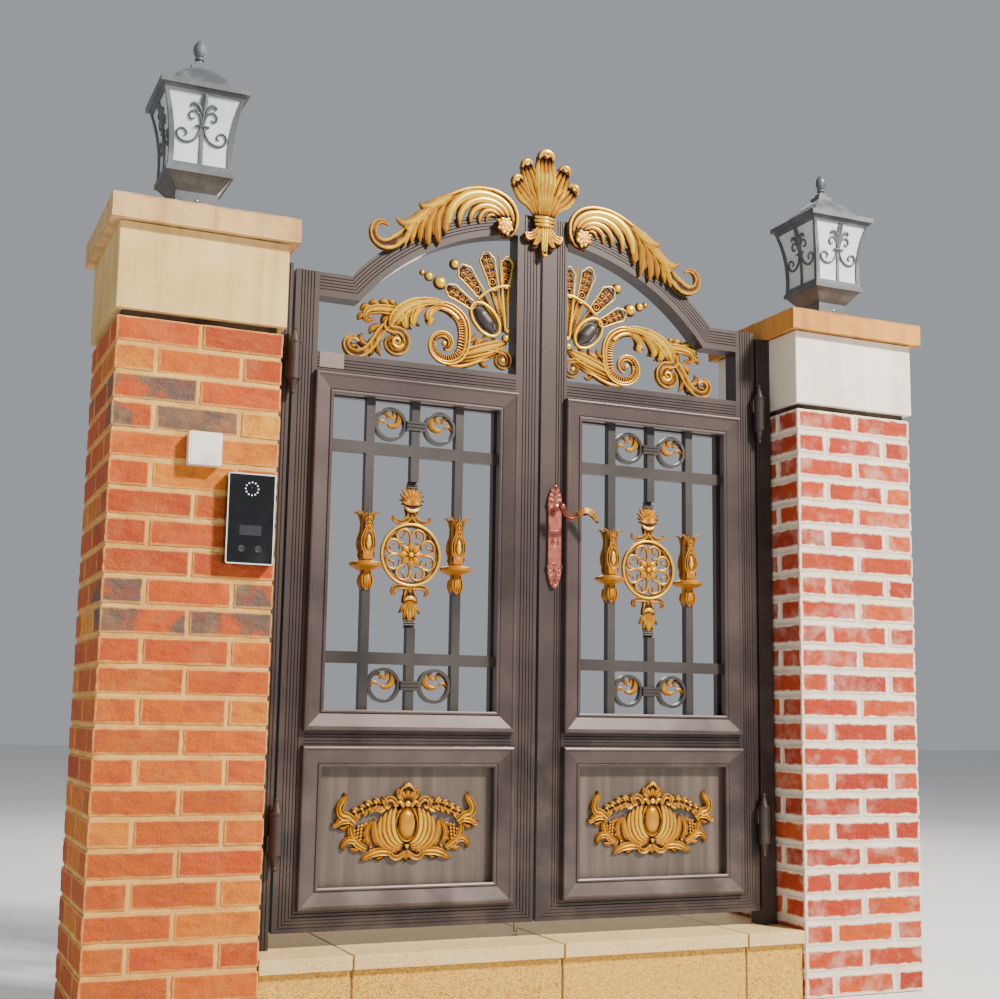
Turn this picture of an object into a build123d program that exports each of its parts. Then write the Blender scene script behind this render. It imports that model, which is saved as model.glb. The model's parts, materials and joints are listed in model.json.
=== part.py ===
"""Aluminium double gate between two brick piers, with gilt cast ornament. Millimetres."""
from build123d import *
from math import cos, exp, radians, sin, sqrt
import os

os.makedirs("parts", exist_ok=True)

# Ground is z 0 and the front faces -Y. The right leaf is modelled at +X and mirrored for the left.

# Masonry
pier_width = 440.0
pier_depth = 440.0
pier_inner_x = 830.0            # gate centre line to the pier's inner face
step_height = 200.0             # ground to the top of the threshold stone
coping_height = 38.0
coping_nosing = 14.0            # how far the coping's front stands out over the riser
coping_round = 9.0
joint_gap = 0.3                 # left between pieces that only rest on each other
brick_height = 1811.0           # ground to the top of the right pier's brickwork
left_pier_rise = 32.0           # how much higher the left pier's head sits
band_recess_height = 18.0       # dark joint under the stone band
band_recess_depth = 8.0
band_height = 231.0
band_proud = 6.0
band_arris = 2.0
cap_height = 71.0
cap_overhang = 34.0
cap_round = 8.0
socket_clearance = 2.0          # round the drop bolt's tip
socket_floor = 8.0              # coping stone left under the socket

# Lantern on each pier
right_lantern_shift = 50.0      # how far outside its pier's middle the right lantern stands
lantern_block_width = 119.0
lantern_block_height = 98.0
lantern_block_arris = 5.0
lantern_flare_height = 42.0     # block to the sill
lantern_sill_height = 14.0
lantern_sill_proud = 4.0
lantern_foot_width = 179.0
lantern_top_width = 230.0
lantern_body_height = 224.0
lantern_belly = 0.895           # width at mid height as a share of the straight taper
lantern_bar = 14.0
lantern_glass_inset = 5.0
lantern_eave_width = 249.0
lantern_eave_height = 16.0
lantern_dome = ((183.0, 0.0), (176.0, 14.0), (142.0, 39.0), (98.0, 62.0), (56.0, 80.0))
lantern_steps = ((50.0, 13.0), (28.0, 13.0))
lantern_bud = ((9.0, -2.0), (9.0, 9.0), (13.5, 10.0), (13.5, 15.0), (8.0, 17.0), (13.0, 22.0), (17.5, 31.0),
               (19.0, 41.0), (17.0, 52.0), (11.0, 63.0), (4.0, 70.0), (0.0, 72.5))

# Leaf frame
leaf_bottom_gap = 42.0          # threshold to the underside of the leaf
leaf_outer_x = 764.0            # centre line to the leaf's hinge edge
leaf_depth = 60.0
leaf_face_y = -80.0             # front face of the frame
meeting_gap = 9.0
meeting_bevel = 3.0             # how much the meeting edge falls back over the leaf's depth
hinge_stile_width = 69.0
left_meeting_stile_width = 75.5
right_meeting_stile_width = 84.5
bottom_rail_height = 61.5
panel_opening_height = 422.5
lock_rail_height = 52.0
grille_opening_height = 987.0
transom_height = 63.0
fanlight_side_height = 162.0    # transom to the level shoulder
shoulder_height = 70.0
arch_centre_drop = 453.0        # from the shoulder's underside to the arch's centre
arch_inner_radius = 730.0
arch_width = 67.0
reed_depth = 2.0
reed_width = 3.0
reed_pitch = 9.0
hinge_stile_reeds = (16.0, 5)   # edge to the first reed, and how many reeds
left_meeting_reeds = (12.0, 5)
left_meeting_pitch = 10.0
right_meeting_reeds = (50.0, 4)
right_meeting_pitch = 8.0
bottom_rail_reeds = (12.0, 5)
lock_rail_reeds = (10.0, 4)
transom_reeds = (9.0, 5)
arch_reeds = (21.0, 5)
post_reeds = (10.0, 4)

# Mouldings, panel and grille
moulding_lap = 6.0              # how far the moulding laps over the frame
moulding_width = 58.0
moulding_proud = 19.0
moulding_shape = ((0, 0), (0, 0.69), (0.035, 0.92), (0.1, 1), (0.17, 0.97), (0.21, 0.84), (0.79, 0.26),
                  (0.82, 0.16), (0.86, 0.32), (0.93, 0.34), (1, 0.21))
panel_thickness = 20.0
panel_seat_gap = 0.3
bar_size = 25.0
bar_spacing = 137.0
cross_bar_height = 33.0
cross_bar_inset = 179.0         # clear height between a cross bar and the rail beyond it
ring_diameter = 98.0
ring_bar = 9.0
ring_depth = 20.0
ring_bite = 0.5                 # how far a ring is let into the side bar
ring_rise = 9.0                 # cross bar to the ring
collar_height = 27.0            # banded collar between two rings, round the middle bar
collar_depth = 31.0
collar_band = 7.0
collar_groove = 2.0
collar_lap = 1.5                # how far the collar laps over each ring

# Posts and hinges
post_gap = 8.0                  # leaf edge to the post
hinge_axis_forward = 21.0       # hinge axis in front of the leaf's face
hinge_radius = 18.0
hinge_half = 54.0
hinge_cone = 30.0
hinge_ball = 7.0
hinge_pin_diameter = 12.0
hinge_pin_clearance = 0.3
hinge_seat_gap = 0.5
lower_hinge_height = 258.0
upper_hinge_drop = 8.0          # below the middle of the transom
hinge_lug_width = 14.0
hinge_lug_reach = 22.4
hinge_lug_gap = 4.0             # parting plane to the lug
hinge_lug_drop = 6.0            # lug to the barrel's end
hinge_rim_height = 6.0
hinge_rim_proud = 1.5
hinge_rim_round = 1.0
hinge_cone_step = 3.0
hinge_cone_tip = 5.0
hinge_ball_sink = 2.0

# Gilt castings. Each pattern's points are in hundredths of that casting's own size.
ornament_clear = 0.3            # seat clearance behind a casting
crest_length = 500.0
crest_thickness = 26.0
fan_thickness = 24.0
fan_side_clear = 0.3
cartouche_width = 420.0
cartouche_rise = 221.5          # bottom rail to the middle of the boss
cartouche_thickness = 18.0
medallion_radius = 93.0
medallion_thickness = 24.0
medallion_reach = 210.0         # middle of the medallion to the ends of its collars
medallion_collar_width = 33.0
spear_sleeve_width = 31.0
foil_place = 65.4
foil_radius = 26.2
foil_bar = 5.5
star_radius = 46.0
strand_end_share = 0.12         # part of a strand's length over which its end rounds off
strand_end_blunt = 0.02
ridge_share = 0.55              # ridge width to strand width
base_share = 0.62               # strand thickness to casting thickness
flute_step = 0.62               # each flute of the volute to the one outside it
flute_spacing = 0.24
finial_height = 212.0           # collar to the top of the palmette
finial_stand_off = 6.0
finial_thickness = 34.0

# Handle and bolt
plate_width = 42.0
plate_thickness = 8.0
plate_centre_x = 50.0
plate_rise = 416.0              # lock rail to the tip of the plate's lower leaf
plate_lower_leaf = 67.0
plate_body_height = 181.0
plate_upper_leaf = 59.0
plate_leaf_shape = (0.9, 1.08, 0.96, 0.7, 0.3)
plate_volute_radius = 6.0
spindle_rise = 238.0            # tip of the lower leaf to the spindle
spindle_diameter = 12.0
spindle_clearance = 0.5
lever_line = ((-6, 0), (18, -10), (42, -15), (76, -3), (102, 11), (120, 9))
lever_half_widths = (9, 8, 7, 8, 8, 4)
lever_hub_radius = 12.0
lever_thickness = 15.0
lever_stand_off = 48.0
bolt_diameter = 12.0
bolt_x = 26.0
bolt_length = 420.0
bolt_tip_clearance = 5.0
bolt_guide_clearance = 0.5
bolt_guide_wall = 5.0
bolt_guide_heights = (60.0, 340.0)
bolt_guide_width = 28.0
bolt_guide_height = 24.0
bolt_stand_off = 6.0
bolt_chamfer = 2.0
bolt_knob_rise = 250.0
bolt_knob_length = 28.0
bolt_knob_radius = 5.0

# Wall items on the left pier
intercom_size = (127.0, 30.0, 239.0)
intercom_centre = (-906.0, 1315.0)
wall_box_size = (86.0, 30.0, 86.0)
wall_box_centre = (-1032.0, 1490.0)
wall_item_round = 5.0

trim_reach = 60.0               # how far a trimming prism runs past the leaf's faces

# Derived places
leaf_z = step_height + leaf_bottom_gap
leaf_back_y = leaf_face_y + leaf_depth
leaf_mid_y = leaf_face_y + leaf_depth / 2
hinge_x = leaf_outer_x + post_gap / 2
hinge_y = leaf_face_y - hinge_axis_forward
band_bottom = brick_height + joint_gap
cap_bottom = band_bottom + band_height + joint_gap
lantern_z = cap_bottom + cap_height + joint_gap
lantern_z_body = lantern_block_height + lantern_flare_height + lantern_sill_height
pier_centre_x = pier_inner_x + pier_width / 2
post_inner_x = leaf_outer_x + post_gap
post_outer_x = pier_inner_x - band_proud - joint_gap
stile_inner_x = leaf_outer_x - hinge_stile_width
meeting_x = meeting_gap / 2
bolt_y = leaf_back_y + bolt_diameter / 2 + bolt_stand_off

# Heights on the leaf, above its underside
lock_rail_bottom = bottom_rail_height + panel_opening_height
lock_rail_top = lock_rail_bottom + lock_rail_height
transom_bottom = lock_rail_top + grille_opening_height
transom_top = transom_bottom + transom_height
shoulder_bottom = transom_top + fanlight_side_height
shoulder_top = shoulder_bottom + shoulder_height
arch_centre_height = shoulder_bottom - arch_centre_drop
arch_outer_radius = arch_inner_radius + arch_width
crown_height = arch_centre_height + arch_outer_radius
cross_bar_lower = lock_rail_top + cross_bar_inset
cross_bar_upper = transom_bottom - cross_bar_inset - cross_bar_height
medallion_height = (cross_bar_lower + cross_bar_upper + cross_bar_height) / 2
hinge_heights = (lower_hinge_height, transom_bottom + transom_height / 2 - upper_hinge_drop)
plate_bottom = lock_rail_top + plate_rise
spindle_height = plate_bottom + spindle_rise


def square_at(width, z):
    """Level square section at a height."""
    return Pos(0, 0, z) * Rectangle(width, width)


def plinth(width, z0, z1):
    """Square block about the Z axis between two heights."""
    return Pos(0, 0, (z0 + z1) / 2) * Box(width, width, z1 - z0)


def block(x0, x1, y0, y1, z0, z1):
    """Axis-aligned block between opposite corners."""
    return Pos((x0 + x1) / 2, (y0 + y1) / 2, (z0 + z1) / 2) * Box(x1 - x0, y1 - y0, z1 - z0)


def front_plane(y):
    """Sketch plane facing the viewer at depth y: local x is X, local y is Z."""
    return Plane(origin=(0, y, 0), x_dir=(1, 0, 0), z_dir=(0, -1, 0))


def slab(sketch, y_back, thickness):
    """A sketch in front view thickened towards the viewer from y_back."""
    return extrude(front_plane(y_back) * sketch, amount=thickness)


def leaf_polygon(points):
    """Polygon in front view, its heights measured from the leaf's underside."""
    return make_face(Polyline([(x, z + leaf_z) for x, z in points], close=True))


def mirrored(shape):
    """The same piece on the other leaf."""
    return mirror(shape, about=Plane.YZ)


def save(name, *solids):
    """Write one node."""
    body = solids[0]
    if len(solids) > 1:
        body = Compound(children=[Solid(s.wrapped) for piece in solids for s in piece.solids()])
    export_step(body, f"parts/{name}.step")


# Masonry

def pier(rise):
    """Square brick pier with the recessed joint under its stone band."""
    top = brick_height + rise
    recess = top - band_recess_height
    body = block(pier_inner_x, pier_inner_x + pier_width, -pier_depth / 2, pier_depth / 2, 0, recess)
    neck = block(pier_inner_x + band_recess_depth, pier_inner_x + pier_width - band_recess_depth,
                 -pier_depth / 2 + band_recess_depth, pier_depth / 2 - band_recess_depth, recess, top)
    return body + neck


def stone_band():
    """Plain stone block laid round the pier's head."""
    stone = Pos(pier_centre_x, 0, band_bottom + band_height / 2) * Box(
        pier_width + 2 * band_proud, pier_depth + 2 * band_proud, band_height)
    return chamfer(stone.edges().filter_by(Axis.Z), band_arris)


def pier_cap():
    """Flat capping stone with softened edges."""
    stone = Pos(pier_centre_x, 0, cap_bottom + cap_height / 2) * Box(
        pier_width + 2 * cap_overhang, pier_depth + 2 * cap_overhang, cap_height)
    return chamfer(stone.edges(), cap_round)


def threshold():
    """Coping stone between the piers, with a rounded nose and the drop bolt's socket."""
    length = 2 * (pier_inner_x - joint_gap)
    stone = Pos(0, 0, step_height - coping_height / 2) * Box(length, pier_depth, coping_height)
    nose = stone.edges().filter_by(Axis.X).sort_by(Axis.Y)[:2]
    stone = fillet(nose, coping_round)
    depth = coping_height - socket_floor
    socket = Pos(-bolt_x, bolt_y, step_height) * Cylinder(bolt_diameter / 2 + socket_clearance, 2 * depth)
    return stone - socket


def step_riser():
    """Masonry step that carries the coping."""
    top = step_height - coping_height - joint_gap
    return block(-(pier_inner_x - joint_gap), pier_inner_x - joint_gap,
                 -pier_depth / 2 + coping_nosing, pier_depth / 2 - coping_nosing, 0, top)


# Lantern

def flared_box(width_low, width_high, height, belly):
    """Square body whose four sides curve outwards to the top."""
    mid = (width_low + width_high) / 2 * belly
    return loft([square_at(width_low, 0), square_at(mid, height / 2), square_at(width_high, height)])


def lantern_body(inset):
    """Flared body of the lantern, drawn in on each side by an inset."""
    return flared_box(lantern_foot_width - 2 * inset, lantern_top_width - 2 * inset, lantern_body_height,
                      lantern_belly)


def lantern_windows():
    """Openings of all four sides between the corner bars, for cutting."""
    less = 2 * lantern_bar
    waist = (lantern_foot_width + lantern_top_width) / 2 * lantern_belly
    across = 2 * lantern_eave_width
    cut = loft([Pos(0, 0, lantern_bar) * Rectangle(lantern_foot_width - less, across),
                Pos(0, 0, lantern_body_height / 2) * Rectangle(waist - less, across),
                Pos(0, 0, lantern_body_height - lantern_bar) * Rectangle(lantern_top_width - less, across)])
    return cut + Rot(0, 0, 90) * cut


def lantern_frame():
    """Base block, flared underside, sill and the four corner bars with their head ring."""
    base = plinth(lantern_block_width, 0, lantern_block_height)
    base = chamfer(base.edges().group_by(Axis.Z)[-1], lantern_block_arris)
    narrow = lantern_block_width - 2 * lantern_block_arris
    sill_width = lantern_foot_width + 2 * lantern_sill_proud
    wide = sill_width - 2 * lantern_block_arris
    z_sill = lantern_block_height + lantern_flare_height
    flare = loft([square_at(narrow, lantern_block_height), square_at(wide, z_sill)])
    sill = plinth(sill_width, z_sill, lantern_z_body)
    shell = lantern_body(0) - lantern_body(lantern_glass_inset) - lantern_windows()
    return base + flare + sill + Pos(0, 0, lantern_z_body) * shell


def lantern_glass():
    """Frosted glass box set inside the bars."""
    keep = plinth(lantern_eave_width, joint_gap, lantern_body_height - joint_gap)
    return Pos(0, 0, lantern_z_body) * (lantern_body(lantern_glass_inset + joint_gap) & keep)


def lantern_roof():
    """Eave plate, hipped dome, two square steps and a turned bud."""
    z_eave = lantern_z_body + lantern_body_height + joint_gap
    eave = plinth(lantern_eave_width, 0, lantern_eave_height)
    right = Spline([(width / 2, z) for width, z in lantern_dome])
    left = Spline([(-width / 2, z) for width, z in reversed(lantern_dome)])
    profile = make_face(right + Line(right @ 1, left @ 0) + left + Line(left @ 1, right @ 0))
    run = extrude(Plane.XZ * profile, amount=lantern_eave_width, both=True)
    roof = run & (Rot(0, 0, 90) * run)
    z = lantern_dome[-1][1]
    for width, height in lantern_steps:
        roof = roof + plinth(width, z, z + height)
        z += height
    turned = make_face(Polyline([(0, lantern_bud[0][1])] + list(lantern_bud), close=True))
    bud = revolve(Plane.XZ * turned, axis=Axis.Z)
    return Pos(0, 0, z_eave) * (eave + Pos(0, 0, lantern_eave_height) * (roof + Pos(0, 0, z) * bud))


# Leaf frame

def reeds_at(edge, reeds, pitch=reed_pitch):
    """Centres of a run of reed grooves that starts from an edge."""
    start, count = reeds
    return [edge + start + pitch * i for i in range(count)]


def reeded_bar(u0, u1, grooves):
    """Cross-section of a frame bar: u across, v forwards from the back; grooved front and back."""
    depth = leaf_depth
    outline = [(u0, 0)]
    for g in grooves:
        outline += [(g - reed_width / 2, 0), (g, reed_depth), (g + reed_width / 2, 0)]
    outline += [(u1, 0), (u1, depth)]
    for g in reversed(grooves):
        outline += [(g + reed_width / 2, depth), (g, depth - reed_depth), (g - reed_width / 2, depth)]
    outline += [(u0, depth)]
    return outline


def upright(u0, u1, grooves, z0, z1):
    """Vertical reeded bar between two heights of the leaf."""
    face = make_face(Polyline([(u, leaf_back_y - v) for u, v in reeded_bar(u0, u1, grooves)], close=True))
    return extrude(Pos(0, 0, leaf_z + z0) * face, amount=z1 - z0)


def level(x0, x1, u0, u1, grooves):
    """Horizontal reeded bar: u is the height above the leaf's underside."""
    plane = Plane(origin=(x0, leaf_back_y, leaf_z), x_dir=(0, 0, 1), z_dir=(1, 0, 0))
    face = make_face(Polyline([(u, v) for u, v in reeded_bar(u0, u1, grooves)], close=True))
    return extrude(plane * face, amount=x1 - x0)


def through(sketch_points):
    """Prism through the leaf's whole depth and its mouldings, for trimming."""
    return slab(leaf_polygon(sketch_points), leaf_back_y + trim_reach, leaf_depth + 2 * trim_reach)


def arch_height(x, radius):
    """Height of the arch of that radius over the leaf's underside at x."""
    return arch_centre_height + sqrt(radius ** 2 - x ** 2)


def meeting_fall(top):
    """Wedge taken off the meeting edge, up to a height, so that it falls back over the leaf's depth."""
    outside = meeting_x - meeting_bevel
    wedge = Polyline([(meeting_x, leaf_face_y), (meeting_x + meeting_bevel, leaf_back_y),
                      (outside, leaf_back_y + 1), (outside, leaf_face_y)], close=True)
    return extrude(Pos(0, 0, leaf_z - 1) * make_face(wedge), amount=top + 2)


def stiles(meeting_width, meeting_reeds):
    """Hinge stile and meeting stile, mitred to the bottom rail."""
    hinge = upright(stile_inner_x, leaf_outer_x, reeds_at(stile_inner_x, hinge_stile_reeds), 0, shoulder_top)
    hinge = hinge - through([(0, -1), (leaf_outer_x, 0), (stile_inner_x, bottom_rail_height),
                             (0, bottom_rail_height)])
    inner = meeting_x + meeting_width
    meeting = upright(meeting_x, inner, meeting_reeds, 0, arch_height(inner, arch_outer_radius) + 1)
    meeting = meeting - through([(meeting_x, 0), (inner, bottom_rail_height),
                                 (stile_inner_x, bottom_rail_height), (stile_inner_x, -1)])
    return hinge, meeting - meeting_fall(crown_height)


def rails(meeting_width):
    """Bottom rail with mitred ends, lock rail and transom."""
    inner = meeting_x + meeting_width
    bottom = level(meeting_x, leaf_outer_x, 0, bottom_rail_height, reeds_at(0, bottom_rail_reeds))
    bottom = bottom & through([(meeting_x, 0), (leaf_outer_x, 0), (stile_inner_x, bottom_rail_height),
                               (inner, bottom_rail_height)])
    bottom = bottom - meeting_fall(bottom_rail_height)
    lock = level(inner, stile_inner_x, lock_rail_bottom, lock_rail_top,
                 reeds_at(lock_rail_bottom, lock_rail_reeds))
    transom = level(inner, stile_inner_x, transom_bottom, transom_top,
                    reeds_at(transom_bottom, transom_reeds))
    return bottom, lock, transom


def arched_rail(meeting_width):
    """Arched head rail that breaks into a level shoulder, reeded along its run."""
    inner = meeting_x + meeting_width
    profile = reeded_bar(arch_inner_radius, arch_outer_radius, reeds_at(arch_inner_radius, arch_reeds))
    plane = Plane(origin=(0, leaf_back_y, leaf_z + arch_centre_height), x_dir=(1, 0, 0), z_dir=(0, 0, 1))
    section = plane * make_face(Polyline([(u, -v) for u, v in profile], close=True))
    axis = Axis((0, leaf_mid_y, leaf_z + arch_centre_height), (0, -1, 0))
    ring = revolve(section, axis=axis, revolution_arc=90)
    if ring.bounding_box().center().Z < leaf_z + arch_centre_height:
        ring = revolve(section, axis=axis, revolution_arc=-90)
    kink_low = sqrt(arch_inner_radius ** 2 - (shoulder_bottom - arch_centre_height) ** 2)
    kink_high = sqrt(arch_outer_radius ** 2 - (shoulder_top - arch_centre_height) ** 2)
    slope = (kink_high - kink_low) / shoulder_height
    reach = 2 * shoulder_height
    low_end = (kink_low - slope * reach, shoulder_bottom - reach)
    high_end = (kink_high + slope * reach, shoulder_top + reach)
    crown = crown_height + reach
    arch = ring & through([low_end, high_end, (high_end[0], crown), (inner, crown),
                           (inner, shoulder_bottom - reach)])
    shoulder = level(kink_low - reach / 2, stile_inner_x, shoulder_bottom, shoulder_top,
                     reeds_at(shoulder_bottom, arch_reeds))
    shoulder = shoulder & through([low_end, high_end, (leaf_outer_x, high_end[1]),
                                   (leaf_outer_x, low_end[1])])
    return arch + shoulder


def moulding_profile():
    """Bolection moulding: u inwards from its outer edge, v forwards of the leaf's face."""
    back = -(leaf_depth - bar_size) / 2
    front = [(across * moulding_width, out * moulding_proud) for across, out in moulding_shape]
    return front + [(moulding_width, back), (moulding_lap, back), (moulding_lap, 0)]


def moulding_member(x0, x1, z0, z1, side, face_sign):
    """One mitred length of the moulding round the opening x0..x1, z0..z1 of the frame."""
    x0, x1, z0, z1 = x0 - moulding_lap, x1 + moulding_lap, z0 - moulding_lap, z1 + moulding_lap
    w = moulding_width
    y_face = leaf_face_y if face_sign < 0 else leaf_back_y
    pts = moulding_profile()
    if side in ("bottom", "top"):
        base, sign = (z0, 1) if side == "bottom" else (z1, -1)
        plane = Plane(origin=(x0, y_face, leaf_z + base), x_dir=(0, 0, 1), z_dir=(1, 0, 0))
        face = make_face(Polyline([(sign * u, -face_sign * v) for u, v in pts], close=True))
        bar = extrude(plane * face, amount=x1 - x0)
    else:
        base, sign = (x0, 1) if side == "left" else (x1, -1)
        face = make_face(Polyline([(base + sign * u, y_face + face_sign * v) for u, v in pts], close=True))
        bar = extrude(Pos(0, 0, leaf_z + z0) * face, amount=z1 - z0)
    cx0, cx1, cz0, cz1 = x0 + w, x1 - w, z0 + w, z1 - w
    mitres = {"bottom": [(x0, z0), (x1, z0), (cx1, cz0), (cx0, cz0)],
              "top": [(x0, z1), (x1, z1), (cx1, cz1), (cx0, cz1)],
              "left": [(x0, z0), (x0, z1), (cx0, cz1), (cx0, cz0)],
              "right": [(x1, z0), (x1, z1), (cx1, cz1), (cx1, cz0)]}
    return bar & through(mitres[side])


def moulding_ring(x0, x1, z0, z1):
    """Mitred mouldings on both faces round one opening."""
    return [moulding_member(x0, x1, z0, z1, side, sign)
            for sign in (-1, 1) for side in ("bottom", "top", "left", "right")]


def panel(inner):
    """Flat infill of the lower opening, caught between the two mouldings."""
    gap = panel_seat_gap
    half = panel_thickness / 2
    return block(inner + gap, stile_inner_x - gap, leaf_mid_y - half, leaf_mid_y + half,
                 leaf_z + bottom_rail_height + gap, leaf_z + lock_rail_bottom - gap)


def opening_centre(inner):
    """X of the middle of the panel and grille openings."""
    return (inner + stile_inner_x) / 2


def collar(x, z, half_width):
    """Collar of three bands round the middle bar, from ring to ring."""
    middle = Pos(x, leaf_mid_y, z)
    less = 2 * collar_groove
    body = middle * Box(2 * half_width - less, collar_depth - less, collar_height)
    for k in (-1, 0, 1):
        band = Box(2 * half_width, collar_depth, collar_band)
        body = body + middle * Pos(0, 0, k * (collar_height - collar_band) / 2) * band
    return body


def grille(inner):
    """Two cross bars, the uprights threaded through them and four rings held by banded collars."""
    cx = opening_centre(inner)
    x0 = inner + joint_gap
    x1 = stile_inner_x - joint_gap
    z0 = lock_rail_top + joint_gap
    z1 = transom_bottom - joint_gap
    half = bar_size / 2
    y0 = leaf_mid_y - half + joint_gap
    y1 = leaf_mid_y + half - joint_gap
    body = block(x0, x1, y0, y1, leaf_z + cross_bar_lower, leaf_z + cross_bar_lower + cross_bar_height)
    body = body + block(x0, x1, y0, y1, leaf_z + cross_bar_upper, leaf_z + cross_bar_upper + cross_bar_height)
    for k in (-1, 1):
        x = cx + k * bar_spacing
        body = body + block(x - half, x + half, y0, y1, leaf_z + z0, leaf_z + z1)
    for low, high in ((z0, medallion_height - medallion_reach), (medallion_height + medallion_reach, z1)):
        body = body + block(cx - half, cx + half, y0, y1, leaf_z + low, leaf_z + high)
    r = ring_diameter / 2
    ring_x = bar_spacing - half - r + ring_bite
    ring = Rot(90, 0, 0) * (Cylinder(r, ring_depth) - Cylinder(r - ring_bar, 2 * ring_depth))
    for low in (cross_bar_lower - ring_rise - r, cross_bar_upper + cross_bar_height + ring_rise + r):
        z = leaf_z + low
        for k in (-1, 1):
            body = body + Pos(cx + k * ring_x, leaf_mid_y, z) * ring
        body = body + collar(cx, z, ring_x - r + collar_lap)
    return body


# Gilt castings

def ribbon(points, widths, steps=16):
    """Flat strand along a smooth line through points, its half width running through widths."""
    line = Spline(points)
    count = len(widths) - 1
    left, right = [], []
    for i in range(steps + 1):
        t = i / steps
        k = min(int(t * count), count - 1)
        f = t * count - k
        end = max(0, 1 - min(t, 1 - t) / strand_end_share)
        w = (widths[k] * (1 - f) + widths[k + 1] * f) * sqrt(max(strand_end_blunt, 1 - end ** 2))
        p = line @ t
        d = line % t
        left.append((p.X - d.Y * w, p.Y + d.X * w))
        right.append((p.X + d.Y * w, p.Y - d.X * w))
    start = Line(right[0], left[0])
    end = Line(left[-1], right[-1])
    return make_face(start + Spline(left) + end + Spline(list(reversed(right))))


def joined(faces):
    """Flat union of sketches."""
    whole = faces[0]
    for face in faces[1:]:
        whole = whole + face
    return whole


def disc(x, z, r):
    """Round boss in front view."""
    return Pos(x, z) * Circle(r)


def annulus(x, z, r, bar):
    """Round ring in front view."""
    return Pos(x, z) * (Circle(r) - Circle(r - bar))


def relief(strands, at, unit, back, thickness, extra=()):
    """Casting in two levels: the strands full width, and their ridges standing proud along the middle."""
    base = []
    ridges = []
    for points, widths, steps in strands:
        base.append(ribbon(at(points), [w * unit for w in widths], steps))
        ridges.append(ribbon(at(points), [w * unit * ridge_share for w in widths], steps))
    low = slab(joined(base + list(extra)), back, thickness * base_share)
    return low + slab(joined(ridges), back, thickness)


def scroll_line(cx, cz, radius, start, sweep, shrink, count=9):
    """Points of a spiral that tightens by shrink for each radian; angles in degrees."""
    points = []
    for i in range(count):
        turn = radians(sweep) * i / (count - 1)
        r = radius * exp(-shrink * abs(turn))
        a = radians(start) + turn
        points.append((cx + r * cos(a), cz + r * sin(a)))
    return points


def on_arch(points):
    """Places along the arch from its crown and over its outer edge, given in hundredths of the crest."""
    unit = crest_length / 100
    places = []
    for along, over in points:
        a = along * unit / arch_outer_radius
        r = arch_outer_radius + over * unit
        places.append((r * sin(a), leaf_z + arch_centre_height + r * cos(a)))
    return places


def crest_scroll():
    """Acanthus scroll that rides over the arched rail: rim, volute, flutes, leaves and end curl."""
    back = leaf_face_y - ornament_clear
    unit = crest_length / 100
    rim = [(29, -15.6), (22, -14), (18.4, -9), (17.8, -2), (20, 4.6), (25, 10.4), (34.6, 14.6), (45, 16),
           (54.8, 15), (62.2, 13.4), (69.2, 12), (74.4, 12.4), (77, 14)]
    stem = [(48, 13), (64, 9), (73.2, 6.4), (80.2, 5.8), (86.4, 5.6), (91.4, 7.2), (93.4, 10)]
    curl = [(82, 4.8), (89.2, 2.4), (98, 0.6), (105, 0), (110, 2.4), (111.8, 9), (108.4, 15.2), (103, 15.2),
            (98.8, 9.4)]
    strands = [(rim, [1.1, 1.4, 1.3, 1.5, 1.4, 0.8], 40), (stem, [2.8, 3.6, 2.8, 2.4, 1.8, 0.8], 24),
               (curl, [5, 5.4, 5, 3.6, 2.8, 1.8, 0.6], 30)]
    flutes = ([(19.6, -6), (24, 5), (33, 9), (44, 10.6), (52.8, 8), (57.8, 3), (60.4, -3)],
              [(22.4, -5), (27, 2), (34, 5.8), (42, 6), (48, 3), (50.4, 0)],
              [(24.4, -4), (30, 0.6), (36.4, 2.2), (41.6, 0), (43.6, -4)],
              [(26.6, -4.6), (30.6, -2), (34.6, -1.4), (38.4, -4)])
    for order, flute in enumerate(flutes):
        wide = 4.2 * flute_step ** order
        strands.append((flute, [wide * 0.4, wide * 0.8, wide, wide, wide * 0.7], 20))
    leaves = (((50, 14.6), (57, 9.8), (62.4, 3.4), (64.6, -4.2)),
              ((58, 10.2), (64, 5.2), (68.4, -0.2), (71.2, -6.8)),
              ((65, 4.2), (71.8, 0.6), (76.2, -5), (79.2, -11.8)),
              ((72.6, 4.2), (77.6, 2.6), (82.2, -0.2), (86, -3.8)),
              ((76, 6), (83.4, 3.2), (88.8, 0.2), (91.8, -3.2)),
              ((82, 5.8), (89.8, 2.6), (95.8, -0.8), (101.2, -4.2)))
    for leaf in leaves:
        strands.append((list(leaf), [2.2, 2.9, 2.5, 1.2], 10))
    knob = on_arch([(28, -9)])[0]
    body = relief(strands, on_arch, unit, back, crest_thickness, [disc(*knob, 6.4 * unit)])
    boss = Pos(knob[0], back, knob[1]) * Rot(90, 0, 0) * Cone(6 * unit, 2.4 * unit, 2 * crest_thickness)
    return body + (boss & block(0, 2 * crest_length, back - crest_thickness, back, 0, 2 * crown_height))


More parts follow.
